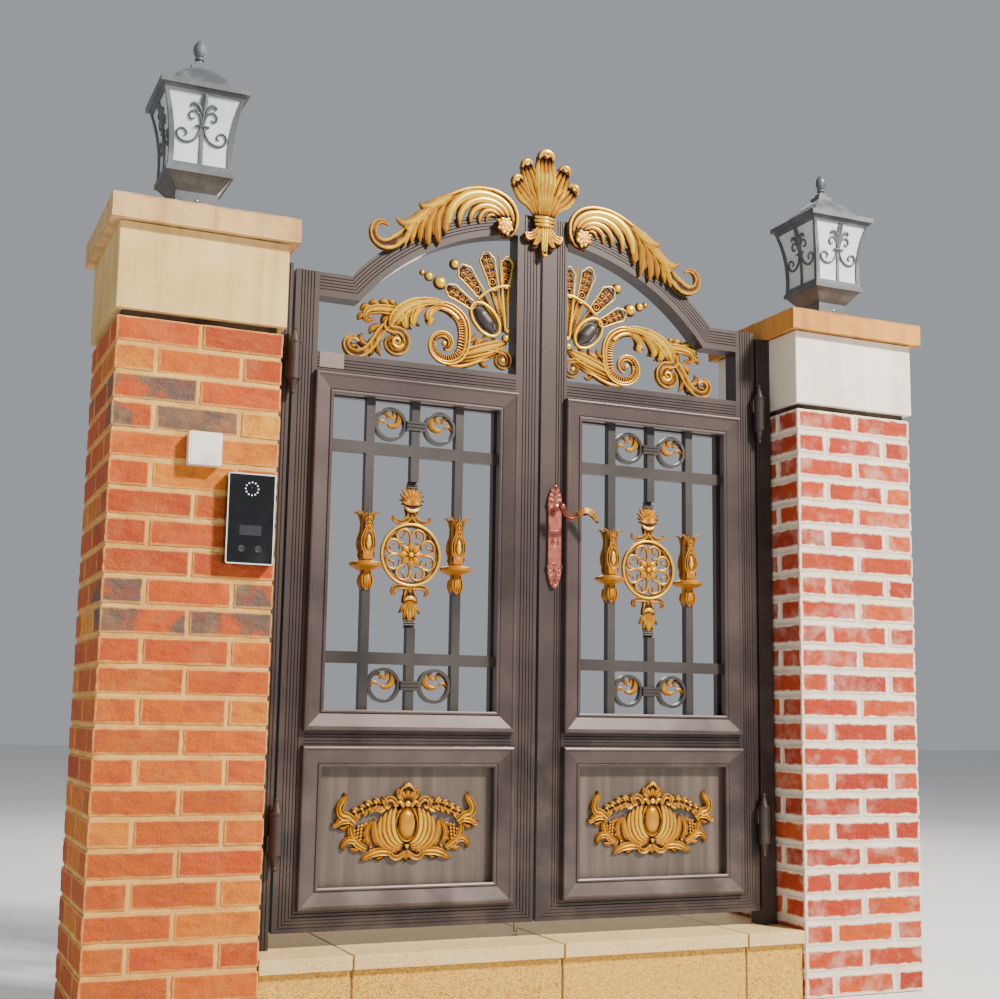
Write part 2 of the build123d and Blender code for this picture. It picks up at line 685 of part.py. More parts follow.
def fanlight_ornament():
    """Half fan of shields, a great C-scroll and its trailing acanthus, on the transom; x from the stile."""
    unit = (arch_height(meeting_x + right_meeting_stile_width, arch_inner_radius) - transom_top) / 100
    x0 = fan_side_clear
    z0 = leaf_z + transom_top + joint_gap
    back = leaf_mid_y + fan_thickness / 2

    def at(points):
        return [(x0 + u * unit, z0 + v * unit) for u, v in points]

    def blob(u, v, r):
        return disc(*at([(u, v)])[0], r * unit)

    eye = (51, 17.6)
    great = [(39, 43.5), (34.6, 38.6), (32.2, 31)] + scroll_line(*eye, 20.4, 162, 458, 0.177, 14)
    crown_leaf = [(33, 33), (37, 41), (45.6, 45.6), (55.6, 47), (66, 45.6), (75.2, 42), (83, 36.4), (89, 28)]
    second = [(92, 30), (90, 25)] + scroll_line(85.4, 12.8, 9, 80, 410, 0.1, 11)
    tail = [(89, 29), (98, 17.6), (103, 7.4), (110, 3.4), (116.6, 4.6), (118.6, 9.4), (114.6, 12.6)]
    small = [(24, 18), (14, 17)] + scroll_line(7.6, 10.6, 5.6, 90, 330, 0.08, 9)
    strands = [(great, [2.8, 3.4, 3.2, 2.6, 2.1, 1.8, 1.5], 56),
               (crown_leaf, [2.6, 2.9, 2.4, 2.2, 2.8, 4.8, 6.2, 4], 30),
               ([(48, 43.4), (57, 41.6), (61, 37), (62, 33.4)], [2.4, 2, 1.8, 1], 12),
               ([(56, 44.4), (68, 41.6), (74.6, 36.4), (75.6, 31.4)], [2.6, 2.6, 2.2, 1.2], 12),
               ([(84, 35.6), (94.8, 37.6), (101.6, 37), (106, 33.4)], [4.4, 3, 2.4, 1.4], 12),
               ([(88, 31), (92, 34), (97, 32), (99, 28)], [3, 2.4, 2, 1.2], 10),
               (second, [3.2, 2, 1.6, 1.4, 1.2, 1.1], 40),
               (tail, [3.6, 3, 2.6, 2.8, 2.6, 2, 1.2], 26),
               ([(34, 14.4), (22, 18.4), (10, 20.2), (1.6, 20.4)], [4, 5, 5, 4], 10),
               (small, [3, 2, 1.5, 1.2], 30),
               ([(13, 18), (26.6, 8.4), (39.2, 3), (46, 2.2)], [2, 1.8, 1.8, 2], 12)]
    for u, v in ((8.4, 27.4), (17, 26.2), (25.8, 26.8)):
        strands.append(([(u + 7, 19.4), (u + 3, 23), (u, v)], [2.2, 2, 1], 6))
    hub = (4.6, 31)
    strands.append(([hub, (4.4, 48), (3.6, 64)], [1.8, 2.8, 3.4], 6))
    strands.append(([hub, (7.6, 62), (11.2, 87.4)], [1, 1.2, 0.6], 6))
    strands.append(([(3.4, 60), (4.2, 74), (4, 83)], [3.2, 3.6, 3.8], 6))
    strands.append(([(3.2, 64.6), (14, 62), (26.8, 52.2)], [1, 1, 1], 8))
    shields = (((13.4, 60), (22.4, 85.4), 4.6), ((24, 53), (42, 74), 4.8), ((28.6, 44), (53.4, 57.2), 4.2))
    rims = []
    for low_end, tip, half in shields:
        middle = ((low_end[0] + tip[0]) / 2, (low_end[1] + tip[1]) / 2)
        strands.append(([hub, low_end], [1.2, 2.6], 6))
        outline = [half * unit * share for share in (0.5, 0.85, 1, 1, 0.8)]
        whole = ribbon(at([low_end, middle, tip]), outline, 12)
        run = (tip[0] - low_end[0], tip[1] - low_end[1])
        inset = [(low_end[0] + k * run[0], low_end[1] + k * run[1]) for k in (0.14, 0.5, 0.86)]
        rims.append((whole, whole - ribbon(at(inset), [w * 0.66 for w in outline], 12)))
    balls = ((44.6, 74.8, 3.5), (56.6, 59.8, 4.8), (63.2, 63.6, 3.4), (67.6, 65.6, 2.1))
    beads = [blob(*ball) for ball in balls]
    egg = Pos(*at([(20.6, 37.6)])[0]) * Rot(0, 0, 45)
    egg_ring = egg * (Ellipse(12.6 * unit, 8.6 * unit) - Ellipse(10 * unit, 6.2 * unit))
    bulb = egg * Pos(-1.6 * unit, 0) * Ellipse(6.8 * unit, 4.2 * unit)
    flat = [whole for whole, rim in rims] + beads + [egg * Ellipse(12.6 * unit, 8.6 * unit), blob(*eye, 4.8),
                                                     blob(85.4, 12.8, 3.8), blob(7.6, 10.6, 2.6)]
    body = relief(strands, at, unit, back, fan_thickness, flat)
    raised = joined([rim for whole, rim in rims] + beads + [egg_ring, bulb])
    return body + slab(raised, back, fan_thickness)


def cartouche():
    """Oval boss in a fluted shell with swags, horns and base leaves; x from its middle."""
    unit = cartouche_width / 100
    z = leaf_z + bottom_rail_height + cartouche_rise
    back = leaf_mid_y - panel_thickness / 2 - ornament_clear
    halves = (([(10, 8), (21, 10.4), (31, 7.4), (42.6, 4)], [4.4, 3.8, 3.4, 2], 12),
              ([(42.2, 2.4), (44.6, 9), (42.4, 14), (43.4, 17.4)], [2.4, 2.4, 1.7, 0.9], 12),
              ([(35, 1), (44, 2.6), (51, -0.4)], [2.2, 2.2, 1], 8),
              ([(26, -17.4), (36, -13), (43.8, -13.6)], [2.6, 2.3, 1], 8),
              ([(38, 3), (34, -8), (25.6, -17)], [3.6, 4.4, 3.2], 8),
              ([(20, 8), (28, -4), (24, -15)], [1.6, 1.6, 1.6], 8),
              ([(10, -20.4), (22, -18.2), (31, -22.8)], [2.4, 2.6, 1], 8),
              ([(0, -20.4), (6, -20.8), (12.6, -20)], [3.6, 3.2, 2.2], 6),
              ([(11.8, 18), (9.6, 15), (5, 11.6), (0, 10)], [2.6, 2.2, 2, 2.4], 6))
    strands = []
    for points, widths, steps in halves:
        strands.append((points, widths, steps))
        strands.append(([(-u, v) for u, v in points], widths, steps))
    strands.append(([(0, 5), (0, 12), (0, 15)], [7, 5, 3.6], 6))
    strands.append(([(0, -10), (0, -15), (0, -19)], [7.4, 4.4, 2], 6))

    def at(points):
        return [(u * unit, z + v * unit) for u, v in points]

    crown = Pos(0, z) * annulus(0, 18.2 * unit, 6 * unit, 2.6 * unit)
    body = relief(strands, at, unit, back, cartouche_thickness * 0.8, [crown])
    for order in range(3):
        share = 1 - order * flute_spacing
        wide = 23.1 * share * unit
        tall = 14.6 * (0.3 + 0.7 * share) * unit
        flute = Pos(0, z - 2.4 * unit * share) * Ellipse(wide, tall)
        body = body + slab(flute, back, cartouche_thickness * (0.45 + 0.18 * order))
    boss = loft([front_plane(back) * Pos(0, z) * Ellipse(6.9 * unit, 8.2 * unit),
                 front_plane(back - cartouche_thickness) * Pos(0, z) * Ellipse(5 * unit, 6 * unit)])
    return body + boss


def spear():
    """Turned and leafed casting sleeved over a side bar of the grille; x from the bar's middle."""
    unit = medallion_radius / 100
    foot = -118
    outline = [(12, foot), (20, -112), (26, -94), (26, -68), (17, -62), (18, -58), (50, -46), (50, -32),
               (20, -26)]
    turned = make_face(Polyline([(0, foot)] + outline + [(0, -26)], close=True))
    body = revolve(Plane.XZ * scale(turned, by=unit), axis=Axis.Z)
    sleeve = spear_sleeve_width / 2
    body = body + block(-sleeve, sleeve, -sleeve, sleeve, (foot + 6) * unit, 122 * unit)
    bulb = ribbon([(0, -10), (0, 30), (0, 70), (0, 124)], [14, 24, 18, 17], 12)
    for side in (-1, 1):
        bulb = bulb + ribbon([(side * 8, 96), (side * 18, 112), (side * 32, 126)], [8, 7, 3], 8)
    body = body + slab(scale(bulb, by=unit), sleeve + 2, spear_sleeve_width + 4)
    hole = Box(bar_size, bar_size, 4 * medallion_reach)
    return Pos(0, leaf_mid_y, leaf_z + medallion_height) * (body - hole)


def medallion():
    """Openwork roundel of star and eight foils between its leafed collars; x from its middle."""
    z = leaf_z + medallion_height
    unit = medallion_radius / 100
    reach = (medallion_reach - joint_gap) / unit
    front = leaf_mid_y + medallion_thickness / 2

    def at(points):
        return [(u * unit, z + v * unit) for u, v in points]

    foils = [annulus(foil_place * cos(radians(a)), foil_place * sin(radians(a)), foil_radius, foil_bar)
             for a in [22.5 + 45 * k for k in range(8)]]
    star_points = []
    for k in range(12):
        r = star_radius if k % 2 == 0 else star_radius * 0.6
        star_points.append((r * cos(radians(30 * k + 30)), r * sin(radians(30 * k + 30))))
    tracery = Pos(0, z) * scale(joined(foils + [make_face(Polyline(star_points, close=True))]), by=unit)
    strands = [([(0, 92), (0, 122), (0, 146), (0, 164)], [38, 19, 20, 26], 10),
               ([(0, 150), (0, 176), (0, 200), (0, 216)], [24, 32, 29, 15], 10),
               ([(0, -92), (0, -120), (0, -148)], [36, 28, 30], 8),
               ([(0, -142), (0, -160), (0, -178), (0, -208)], [26, 32, 40, 16], 10)]
    for s in (-1, 1):
        strands.append(([(s * 10, 100), (s * 42, 99), (s * 60, 116)], [8, 7, 4], 8))
        strands.append(([(s * 10, -98), (s * 42, -99), (s * 55, -116)], [8, 7, 4], 8))
        strands.append(([(s * 8, 168), (s * 26, 190), (s * 36, 206)], [8, 7, 3], 8))
        strands.append(([(s * 8, -150), (s * 28, -172), (s * 40, -190)], [8, 9, 4], 8))
    ring = Pos(0, z) * scale(Circle(100) - Circle(91), by=unit)
    neck_end = 200
    collar = Rectangle(medallion_collar_width, (reach - neck_end) * unit)
    collars = [Pos(0, z + s * (reach + neck_end) / 2 * unit) * collar for s in (-1, 1)]
    body = relief(strands, at, unit, front, medallion_thickness, [ring] + collars)
    body = body + slab(Pos(0, z) * scale(Circle(98) - Circle(93), by=unit), front, medallion_thickness)
    body = body + slab(tracery, front - medallion_thickness / 8, medallion_thickness * 0.6)
    boss = Pos(0, leaf_mid_y, z) * Rot(90, 0, 0) * Cylinder(star_radius * unit / 4, medallion_thickness)
    return body + boss


def finial():
    """Palmette of hooded lobes over a ringed collar, with a leafy drop, lapping the meeting line."""
    unit = finial_height / 100
    z = leaf_z + crown_height - 4 * unit
    back = leaf_face_y - finial_stand_off

    def at(points):
        return [(u * unit, z + v * unit) for u, v in points]

    strands = [([(0, 0), (0, 50), (0, 86), (0, 99.8)], [13, 19, 15, 9], 12),
               ([(0, -8), (0, -36), (0, -58)], [12, 10, 4], 10)]
    for s in (-1, 1):
        strands.append(([(s * 5, 0), (s * 14, 36), (s * 25, 62), (s * 30, 80)], [9, 15, 13, 7], 12))
        strands.append(([(s * 7, 0), (s * 19, 24), (s * 36, 39), (s * 45, 52)], [8, 13, 13, 6], 12))
        strands.append(([(s * 5, -10), (s * 14, -25), (s * 28, -31)], [8, 7, 3], 8))
        strands.append(([(s * 4, -10), (s * 6, -32), (s * 10, -46)], [8, 7, 3.4], 8))
    body = relief(strands, at, unit, back, finial_thickness * 0.7)
    room = block(-finial_height, finial_height, back - finial_thickness, back, z, z + finial_height)
    for u, v, r in ((0, 90, 11), (-29, 77, 8), (29, 77, 8), (-44, 50, 7), (44, 50, 7)):
        hood = Pos(u * unit, back - finial_thickness + r * unit, z + v * unit) * Sphere(r * unit)
        body = body + (hood & room)
    half_depth = finial_thickness * 0.45
    for low, high, half_width in ((-13, 7, 13.5), (-11, -7, 16.4), (-5, -1, 16.4), (1, 5, 16.4)):
        ring = extrude(Ellipse(half_width * unit, half_depth * half_width / 16.4), amount=(high - low) * unit)
        body = body + Pos(0, back - half_depth, z + low * unit) * ring
    x0 = meeting_x + 2 * meeting_bevel
    return body + block(x0, x0 + 14 * unit, back, leaf_face_y - ornament_clear, z - 30 * unit, z - 4 * unit)


# Hinges, handle and bolt

def hinge_turning(sign):
    """Turned half of the barrel with its cone and ball, measured from the parting plane."""
    r = hinge_radius
    rim = r + hinge_rim_proud
    rim_start = hinge_half - hinge_rim_height
    tip = hinge_half + hinge_cone
    outline = [(0, 0), (r, 0), (r, rim_start), (rim, rim_start + hinge_rim_round), (rim, hinge_half),
               (r - hinge_cone_step, hinge_half + hinge_rim_round), (hinge_cone_tip, tip), (0, tip)]
    half = revolve(Plane.XZ * make_face(Polyline(outline, close=True)), axis=Axis.Z)
    half = half + Pos(0, 0, tip + hinge_ball - hinge_ball_sink) * Sphere(hinge_ball)
    if sign < 0:
        half = mirror(half, about=Plane.XY)
    return half


def hinge_lug(sign):
    """Lug that carries one half of the barrel: sign is -1 on the post, 1 on the leaf."""
    x0, x1 = sorted((-sign * hinge_lug_width / 2, -sign * hinge_lug_reach))
    z0, z1 = sorted((sign * hinge_lug_gap, sign * (hinge_half - hinge_lug_drop)))
    return block(x0, x1, 0, hinge_axis_forward - joint_gap, z0, z1)


def fixed_hinges():
    """Lower halves on the post, each with its pin."""
    pin = Pos(0, 0, hinge_half / 2 - hinge_lug_drop) * Cylinder(hinge_pin_diameter / 2, hinge_half)
    half = hinge_turning(-1) + pin + hinge_lug(-1)
    return [Pos(hinge_x, hinge_y, leaf_z + h) * half for h in hinge_heights]


def leaf_hinges():
    """Upper halves on the leaf, bored for the pin."""
    bore_radius = hinge_pin_diameter / 2 + hinge_pin_clearance
    bore = Pos(0, 0, hinge_half / 2 - hinge_lug_gap) * Cylinder(bore_radius, hinge_half + hinge_lug_gap)
    half = Pos(0, 0, hinge_seat_gap) * hinge_turning(1) + hinge_lug(1) - bore
    return [Pos(hinge_x, hinge_y, leaf_z + h) * half for h in hinge_heights]


def spindle_bore():
    """Hole through the meeting stile for the spindle."""
    radius = spindle_diameter / 2 + spindle_clearance
    middle = Pos(plate_centre_x, leaf_mid_y, leaf_z + spindle_height)
    return middle * Rot(90, 0, 0) * Cylinder(radius, leaf_depth + 4 * plate_thickness)


def lock_plate():
    """Long cast plate with a leaf at each end and volutes at its corners, bored for the spindle."""
    x = plate_centre_x
    half = plate_width / 2
    low = leaf_z + plate_bottom + plate_lower_leaf
    high = low + plate_body_height
    body = Pos(x, (low + high) / 2) * Rectangle(plate_width, plate_body_height)
    for end, reach in ((low, -plate_lower_leaf), (high, plate_upper_leaf)):
        line = [(x, end - reach * 0.1), (x, end + reach / 2), (x, end + reach)]
        body = body + ribbon(line, [half * share for share in plate_leaf_shape], 10)
        for side in (-1, 1):
            body = body + disc(x + side * (half - plate_volute_radius / 2), end, plate_volute_radius)
    return slab(body, leaf_face_y - joint_gap, plate_thickness) - spindle_bore()


def lever():
    """Curved lever on its spindle, the same on both faces."""
    z = leaf_z + spindle_height
    y_front = leaf_face_y - joint_gap - plate_thickness - lever_stand_off
    y_back = leaf_back_y + joint_gap + lever_stand_off
    spindle = Cylinder(spindle_diameter / 2, y_back - y_front)
    body = Pos(plate_centre_x, (y_front + y_back) / 2, z) * Rot(90, 0, 0) * spindle
    arm = ribbon([(plate_centre_x + u, z + v) for u, v in lever_line], list(lever_half_widths), steps=20)
    hub = Rot(90, 0, 0) * Cylinder(lever_hub_radius, lever_thickness)
    for y in (y_front, y_back):
        body = body + slab(arm, y + lever_thickness / 2, lever_thickness)
        body = body + Pos(plate_centre_x, y, z) * hub
    return body


def bolt_guides():
    """Two guide blocks on the back of the left leaf's meeting stile."""
    half = bolt_guide_width / 2
    y0 = leaf_back_y + joint_gap
    y1 = bolt_y + bolt_diameter / 2 + bolt_guide_wall
    bore_radius = bolt_diameter / 2 + bolt_guide_clearance
    parts = []
    for h in bolt_guide_heights:
        low = leaf_z + h
        guide = block(-bolt_x - half, -bolt_x + half, y0, y1, low, low + bolt_guide_height)
        parts.append(guide - Pos(-bolt_x, bolt_y, low) * Cylinder(bore_radius, 4 * bolt_guide_height))
    return parts


def drop_bolt():
    """Round bolt with a knob, its tip just clear of the threshold."""
    z0 = step_height + bolt_tip_clearance
    rod = Pos(-bolt_x, bolt_y, z0 + bolt_length / 2) * Cylinder(bolt_diameter / 2, bolt_length)
    rod = chamfer(rod.edges().group_by(Axis.Z)[0], bolt_chamfer)
    knob = Rot(90, 0, 0) * Cylinder(bolt_knob_radius, bolt_knob_length)
    return rod + Pos(-bolt_x, bolt_y + bolt_knob_length / 2, z0 + bolt_knob_rise) * knob


def wall_item(size, centre):
    """Rounded box on the left pier's front face."""
    w, d, h = size
    y = -pier_depth / 2 - joint_gap - d / 2
    body = Pos(centre[0], y, centre[1]) * Box(w, d, h)
    return fillet(body.edges().filter_by(Axis.Y), wall_item_round)


def post(rise):
    """Reeded post between the pier and the leaf, up to the pier's cap."""
    z0 = step_height + joint_gap - leaf_z
    z1 = cap_bottom + rise - joint_gap - leaf_z
    return upright(post_inner_x, post_outer_x, reeds_at(post_inner_x, post_reeds), z0, z1)


def save_side(side, flip):
    """Write one leaf with its pier, post and lantern; flip puts them on the left."""
    def place(shape):
        return mirrored(shape) if flip else shape

    def save_placed(name, *solids):
        save(f"{side}_{name}", *[place(solid) for solid in solids])

    width = left_meeting_stile_width if flip else right_meeting_stile_width
    inner = meeting_x + width
    meeting_reeds = reeds_at(meeting_x, right_meeting_reeds, right_meeting_pitch)
    rise = 0
    shift = right_lantern_shift
    if flip:
        meeting_reeds = reeds_at(meeting_x, left_meeting_reeds, left_meeting_pitch)
        rise = left_pier_rise
        shift = 0
    raised = Pos(0, 0, rise)
    lantern_place = Pos(pier_centre_x + shift, 0, lantern_z + rise)
    save_placed("pier", pier(rise))
    save_placed("stone_band", raised * stone_band())
    save_placed("pier_cap", raised * pier_cap())
    save_placed("lantern_frame", lantern_place * lantern_frame())
    save_placed("lantern_glass", lantern_place * lantern_glass())
    save_placed("lantern_roof", lantern_place * lantern_roof())
    save_placed("post", post(rise))
    save_placed("fixed_hinges", *fixed_hinges())
    save_placed("leaf_hinges", *leaf_hinges())
    hinge_stile, meeting_stile = stiles(width, meeting_reeds)
    if not flip:
        meeting_stile = meeting_stile - spindle_bore()
    save_placed("stiles", hinge_stile, meeting_stile)
    save_placed("rails", *rails(width))
    save_placed("arched_rail", arched_rail(width))
    save_placed("lower_moulding", *moulding_ring(inner, stile_inner_x, bottom_rail_height, lock_rail_bottom))
    save_placed("upper_moulding", *moulding_ring(inner, stile_inner_x, lock_rail_top, transom_bottom))
    save_placed("panel", panel(inner))
    save_placed("grille", grille(inner))
    middle = opening_centre(inner)
    spears = [Pos(middle + k * bar_spacing, 0, 0) * castings["spear"] for k in (-1, 1)]
    save_placed("medallion", Pos(middle, 0, 0) * castings["medallion"], *spears)
    save_placed("fanlight_ornament", Pos(inner, 0, 0) * castings["fan"])
    save_placed("crest_scroll", castings["crest"])
    save_placed("cartouche", Pos(middle, 0, 0) * castings["cartouche"])


castings = {"spear": spear(), "medallion": medallion(), "fan": fanlight_ornament(), "crest": crest_scroll(),
            "cartouche": cartouche()}
for side, flip in (("right", False), ("left", True)):
    save_side(side, flip)

save("threshold", threshold())
save("step_riser", step_riser())
save("intercom", wall_item(intercom_size, intercom_centre))
save("wall_box", wall_item(wall_box_size, wall_box_centre))
save("finial", finial())
save("lock_plate", lock_plate())
save("lever_handle", lever())
save("bolt_guides", *bolt_guides())
save("drop_bolt", drop_bolt())
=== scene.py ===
import json
import math
import random
from contextlib import contextmanager
import bpy
import numpy as np
from mathutils import Matrix, Vector

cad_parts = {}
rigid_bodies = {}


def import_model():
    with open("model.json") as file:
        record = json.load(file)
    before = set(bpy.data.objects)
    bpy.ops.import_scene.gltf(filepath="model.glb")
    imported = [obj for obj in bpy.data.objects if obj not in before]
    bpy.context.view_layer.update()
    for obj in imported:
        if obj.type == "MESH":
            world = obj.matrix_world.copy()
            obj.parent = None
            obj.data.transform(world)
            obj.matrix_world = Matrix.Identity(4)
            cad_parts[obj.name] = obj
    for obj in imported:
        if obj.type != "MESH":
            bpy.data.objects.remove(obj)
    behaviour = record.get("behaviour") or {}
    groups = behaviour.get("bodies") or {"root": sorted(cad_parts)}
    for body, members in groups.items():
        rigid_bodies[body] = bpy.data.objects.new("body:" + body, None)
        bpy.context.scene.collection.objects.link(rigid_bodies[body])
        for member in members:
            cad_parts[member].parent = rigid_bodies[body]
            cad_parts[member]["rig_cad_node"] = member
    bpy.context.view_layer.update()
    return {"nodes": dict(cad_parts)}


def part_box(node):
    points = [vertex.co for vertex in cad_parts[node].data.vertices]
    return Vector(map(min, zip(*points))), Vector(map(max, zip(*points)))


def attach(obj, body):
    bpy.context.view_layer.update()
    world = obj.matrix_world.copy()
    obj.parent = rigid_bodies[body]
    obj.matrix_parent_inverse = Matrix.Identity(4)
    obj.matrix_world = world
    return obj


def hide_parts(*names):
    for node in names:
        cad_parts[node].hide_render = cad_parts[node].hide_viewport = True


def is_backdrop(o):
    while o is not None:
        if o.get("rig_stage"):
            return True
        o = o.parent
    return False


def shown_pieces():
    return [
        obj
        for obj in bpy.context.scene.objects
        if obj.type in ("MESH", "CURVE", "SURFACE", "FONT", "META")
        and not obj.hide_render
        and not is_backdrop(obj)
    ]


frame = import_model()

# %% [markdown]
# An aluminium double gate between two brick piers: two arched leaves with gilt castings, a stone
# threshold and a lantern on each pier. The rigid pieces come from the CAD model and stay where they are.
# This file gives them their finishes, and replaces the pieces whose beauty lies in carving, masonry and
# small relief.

mm = 0.001
both_sides = ("left", "right")
sharp_angle = math.radians(50)
random.seed(11)
nodes = frame["nodes"]


def select_only(*things):
    """Selects these objects and nothing else; the last one is active."""
    bpy.ops.object.select_all(action="DESELECT")
    for thing in things:
        thing.select_set(True)
    bpy.context.view_layer.objects.active = things[-1]


def settle(piece):
    """Moves a piece's place, turn and scale into its mesh."""
    select_only(piece)
    bpy.ops.object.transform_apply(location=True, rotation=True, scale=True)
    return piece


def joined(name, pieces):
    """One mesh object from several."""
    select_only(*pieces)
    if len(pieces) > 1:
        bpy.ops.object.join()
    piece = bpy.context.view_layer.objects.active
    piece.name = name
    piece.data.name = name
    return settle(piece)


def copied(piece, name):
    """A copy with its own mesh."""
    twin = piece.copy()
    twin.data = piece.data.copy()
    twin.name = name
    bpy.context.scene.collection.objects.link(twin)
    return twin


@contextmanager
def editing(piece):
    """Edit mode on one piece, with the whole of it selected."""
    select_only(piece)
    bpy.ops.object.mode_set(mode="EDIT")
    bpy.ops.mesh.select_all(action="SELECT")
    yield
    bpy.ops.object.mode_set(mode="OBJECT")


def with_left(right_piece, kind, shift=0.0):
    """A right-hand piece and its copy mirrored in the centre line and moved by shift, by side."""
    twin = copied(right_piece, f"left_{kind}")
    twin.scale.x = -1
    settle(twin)
    with editing(twin):
        bpy.ops.mesh.normals_make_consistent(inside=False)
    twin.location.x = shift
    return {"right": right_piece, "left": settle(twin)}


def turned_back(piece, name, middle):
    """A copy that faces the other way, mirrored in the plane at depth middle."""
    twin = copied(piece, name)
    twin.scale.y = -1
    twin.location.y = 2 * middle
    with editing(settle(twin)):
        bpy.ops.mesh.flip_normals()
    return twin


def plain_box(name, size, middle=(0, 0, 0)):
    """A block to be worked further."""
    bpy.ops.mesh.primitive_cube_add(size=1)
    block = bpy.context.object
    block.name = name
    block.scale = size
    block.location = middle
    return settle(block)


def soften(piece, arris):
    """Rounds a piece's sharp edges."""
    worn = piece.modifiers.new("worn_edges", "BEVEL")
    worn.width = arris
    worn.segments = 2
    worn.limit_method = "ANGLE"
    worn.angle_limit = sharp_angle
    select_only(piece)
    bpy.ops.object.modifier_apply(modifier="worn_edges")
    return piece


def triangles(*pieces):
    """Triangle count of one mesh or several."""
    return sum(len(face.vertices) - 2 for piece in pieces for face in piece.data.polygons)


def read_points(piece, kind="co"):
    """The place or the normal of each point of a mesh, one to a row."""
    values = np.zeros(3 * len(piece.data.vertices))
    piece.data.vertices.foreach_get(kind, values)
    return values.reshape(-1, 3)


def move_points(piece, points):
    """Puts the points of a mesh in new places."""
    piece.data.vertices.foreach_set("co", points.ravel())
    piece.data.update()


def keep(piece, name, values):
    """Stores a number for each point of a mesh, or one number for them all, for its finish to read."""
    layer = piece.data.attributes.get(name) or piece.data.attributes.new(name, "FLOAT", "POINT")
    layer.data.foreach_set("value", np.zeros(len(piece.data.vertices),
                                             dtype=np.float32) + np.float32(values))
    return piece


# %% [markdown]
# The photograph was taken from low on the left, by the foot of the gate. The camera's place and turn were
# worked out from the corners of the frame, the piers and the threshold, so that the render can be laid
# over it.

# %% Camera
camera_place = Vector((-1.7807, -3.8554, 0.8206))
looking = Vector((0.39682, 0.90551, 0.15028)).normalized()
camera_roll = math.radians(0.899)
focal_pixels = 1419.58
photo_width = 1000
sensor_width = 36.0

camera_data = bpy.data.cameras.new("photo_camera")
camera = bpy.data.objects.new("photo_camera", camera_data)
bpy.context.scene.collection.objects.link(camera)
level_right = looking.cross(Vector((0, 0, 1))).normalized()
level_up = level_right.cross(looking)
right = level_right * math.cos(camera_roll) + level_up * math.sin(camera_roll)
up = right.cross(looking)
camera.matrix_world = Matrix.Translation(camera_place) @ Matrix((right, up, -looking)).transposed().to_4x4()
camera_data.sensor_width = sensor_width
camera_data.lens = focal_pixels * sensor_width / photo_width
bpy.context.scene.camera = camera
print("lens", round(camera_data.lens, 2), "mm")


# %% [markdown]
# The floor is a pale sheet well beyond the object. The light is soft: a large warm key from the upper
# right front, where the sun stood, a cooler fill from the left, one behind for the back, and a dim even
# sky.

# %% Floor and lights
floor_half = 30.0
bpy.ops.mesh.primitive_plane_add(size=2 * floor_half, location=(0, 0, 0))
floor = bpy.context.object
floor.name = "floor"
settle(floor)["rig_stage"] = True


def soft_light(name, place, target, size, power, colour):
    """Square area light aimed at a point."""
    data = bpy.data.lights.new(name, "AREA")
    data.size = size
    data.energy = power
    data.color = colour
    light = bpy.data.objects.new(name, data)
    light.location = place
    aim = Vector(target) - Vector(place)
    light.rotation_euler = aim.to_track_quat("-Z", "Y").to_euler()
    bpy.context.scene.collection.objects.link(light)


gate_middle = (0, 0, 1.4)
soft_light("key", (3.3, -4.9, 6.4), gate_middle, 0.9, 1550, (1.0, 0.94, 0.84))
soft_light("fill", (-5.0, -5.0, 2.2), gate_middle, 4.0, 30, (0.88, 0.94, 1.0))
soft_light("back", (2.5, 5.5, 4.5), gate_middle, 3.0, 220, (1.0, 0.97, 0.92))
sky = bpy.data.worlds.new("pale_sky")
bpy.context.scene.world = sky
sky.use_nodes = True
sky.node_tree.nodes["Background"].inputs["Color"].default_value = (0.86, 0.9, 0.95, 1)
sky.node_tree.nodes["Background"].inputs["Strength"].default_value = 0.4


# %% [markdown]
# A finish is a sum of patterns: a base colour, stains on it, grain under it. Written node by node that
# takes pages, so a small class stands for one socket and lets the sums be written as sums. Numbers go
# through Math, vectors through Vector Math and colours through Mix.

# %% Shader sums
cloud_roughness = 0.55


class Tint:
    """One socket of a finish, which can be added, scaled and mixed."""

    def __init__(self, finish, socket):
        self.finish = finish
        self.socket = socket

    def combine(self, operation, first, second):
        """Joins two values by a Math, Vector Math or Mix node, whichever suits them."""
        kinds = [v.socket.type for v in (first, second) if isinstance(v, Tint)]
        if "RGBA" in kinds:
            settings = {"data_type": "RGBA", "blend_type": operation}
            return self.finish.node("ShaderNodeMix", settings, {0: 1.0, 6: first, 7: second}, 2)
        if "VECTOR" in kinds:
            return self.finish.node("ShaderNodeVectorMath", {"operation": operation}, {0: first, 1: second})
        return self.finish.node("ShaderNodeMath", {"operation": operation}, {0: first, 1: second})

    def __add__(self, other):
        return self.combine("ADD", self, other)

    def __radd__(self, other):
        return self.combine("ADD", other, self)

    def __sub__(self, other):
        return self.combine("SUBTRACT", self, other)

    def __rsub__(self, other):
        return self.combine("SUBTRACT", other, self)

    def __mul__(self, other):
        return self.combine("MULTIPLY", self, other)

    def __rmul__(self, other):
        return self.combine("MULTIPLY", other, self)

    def step(self, low, high):
        """0 below low, 1 above high, smooth between."""
        settings = {"interpolation_type": "SMOOTHSTEP"}
        return self.finish.node("ShaderNodeMapRange", settings, {0: self, 1: low, 2: high})


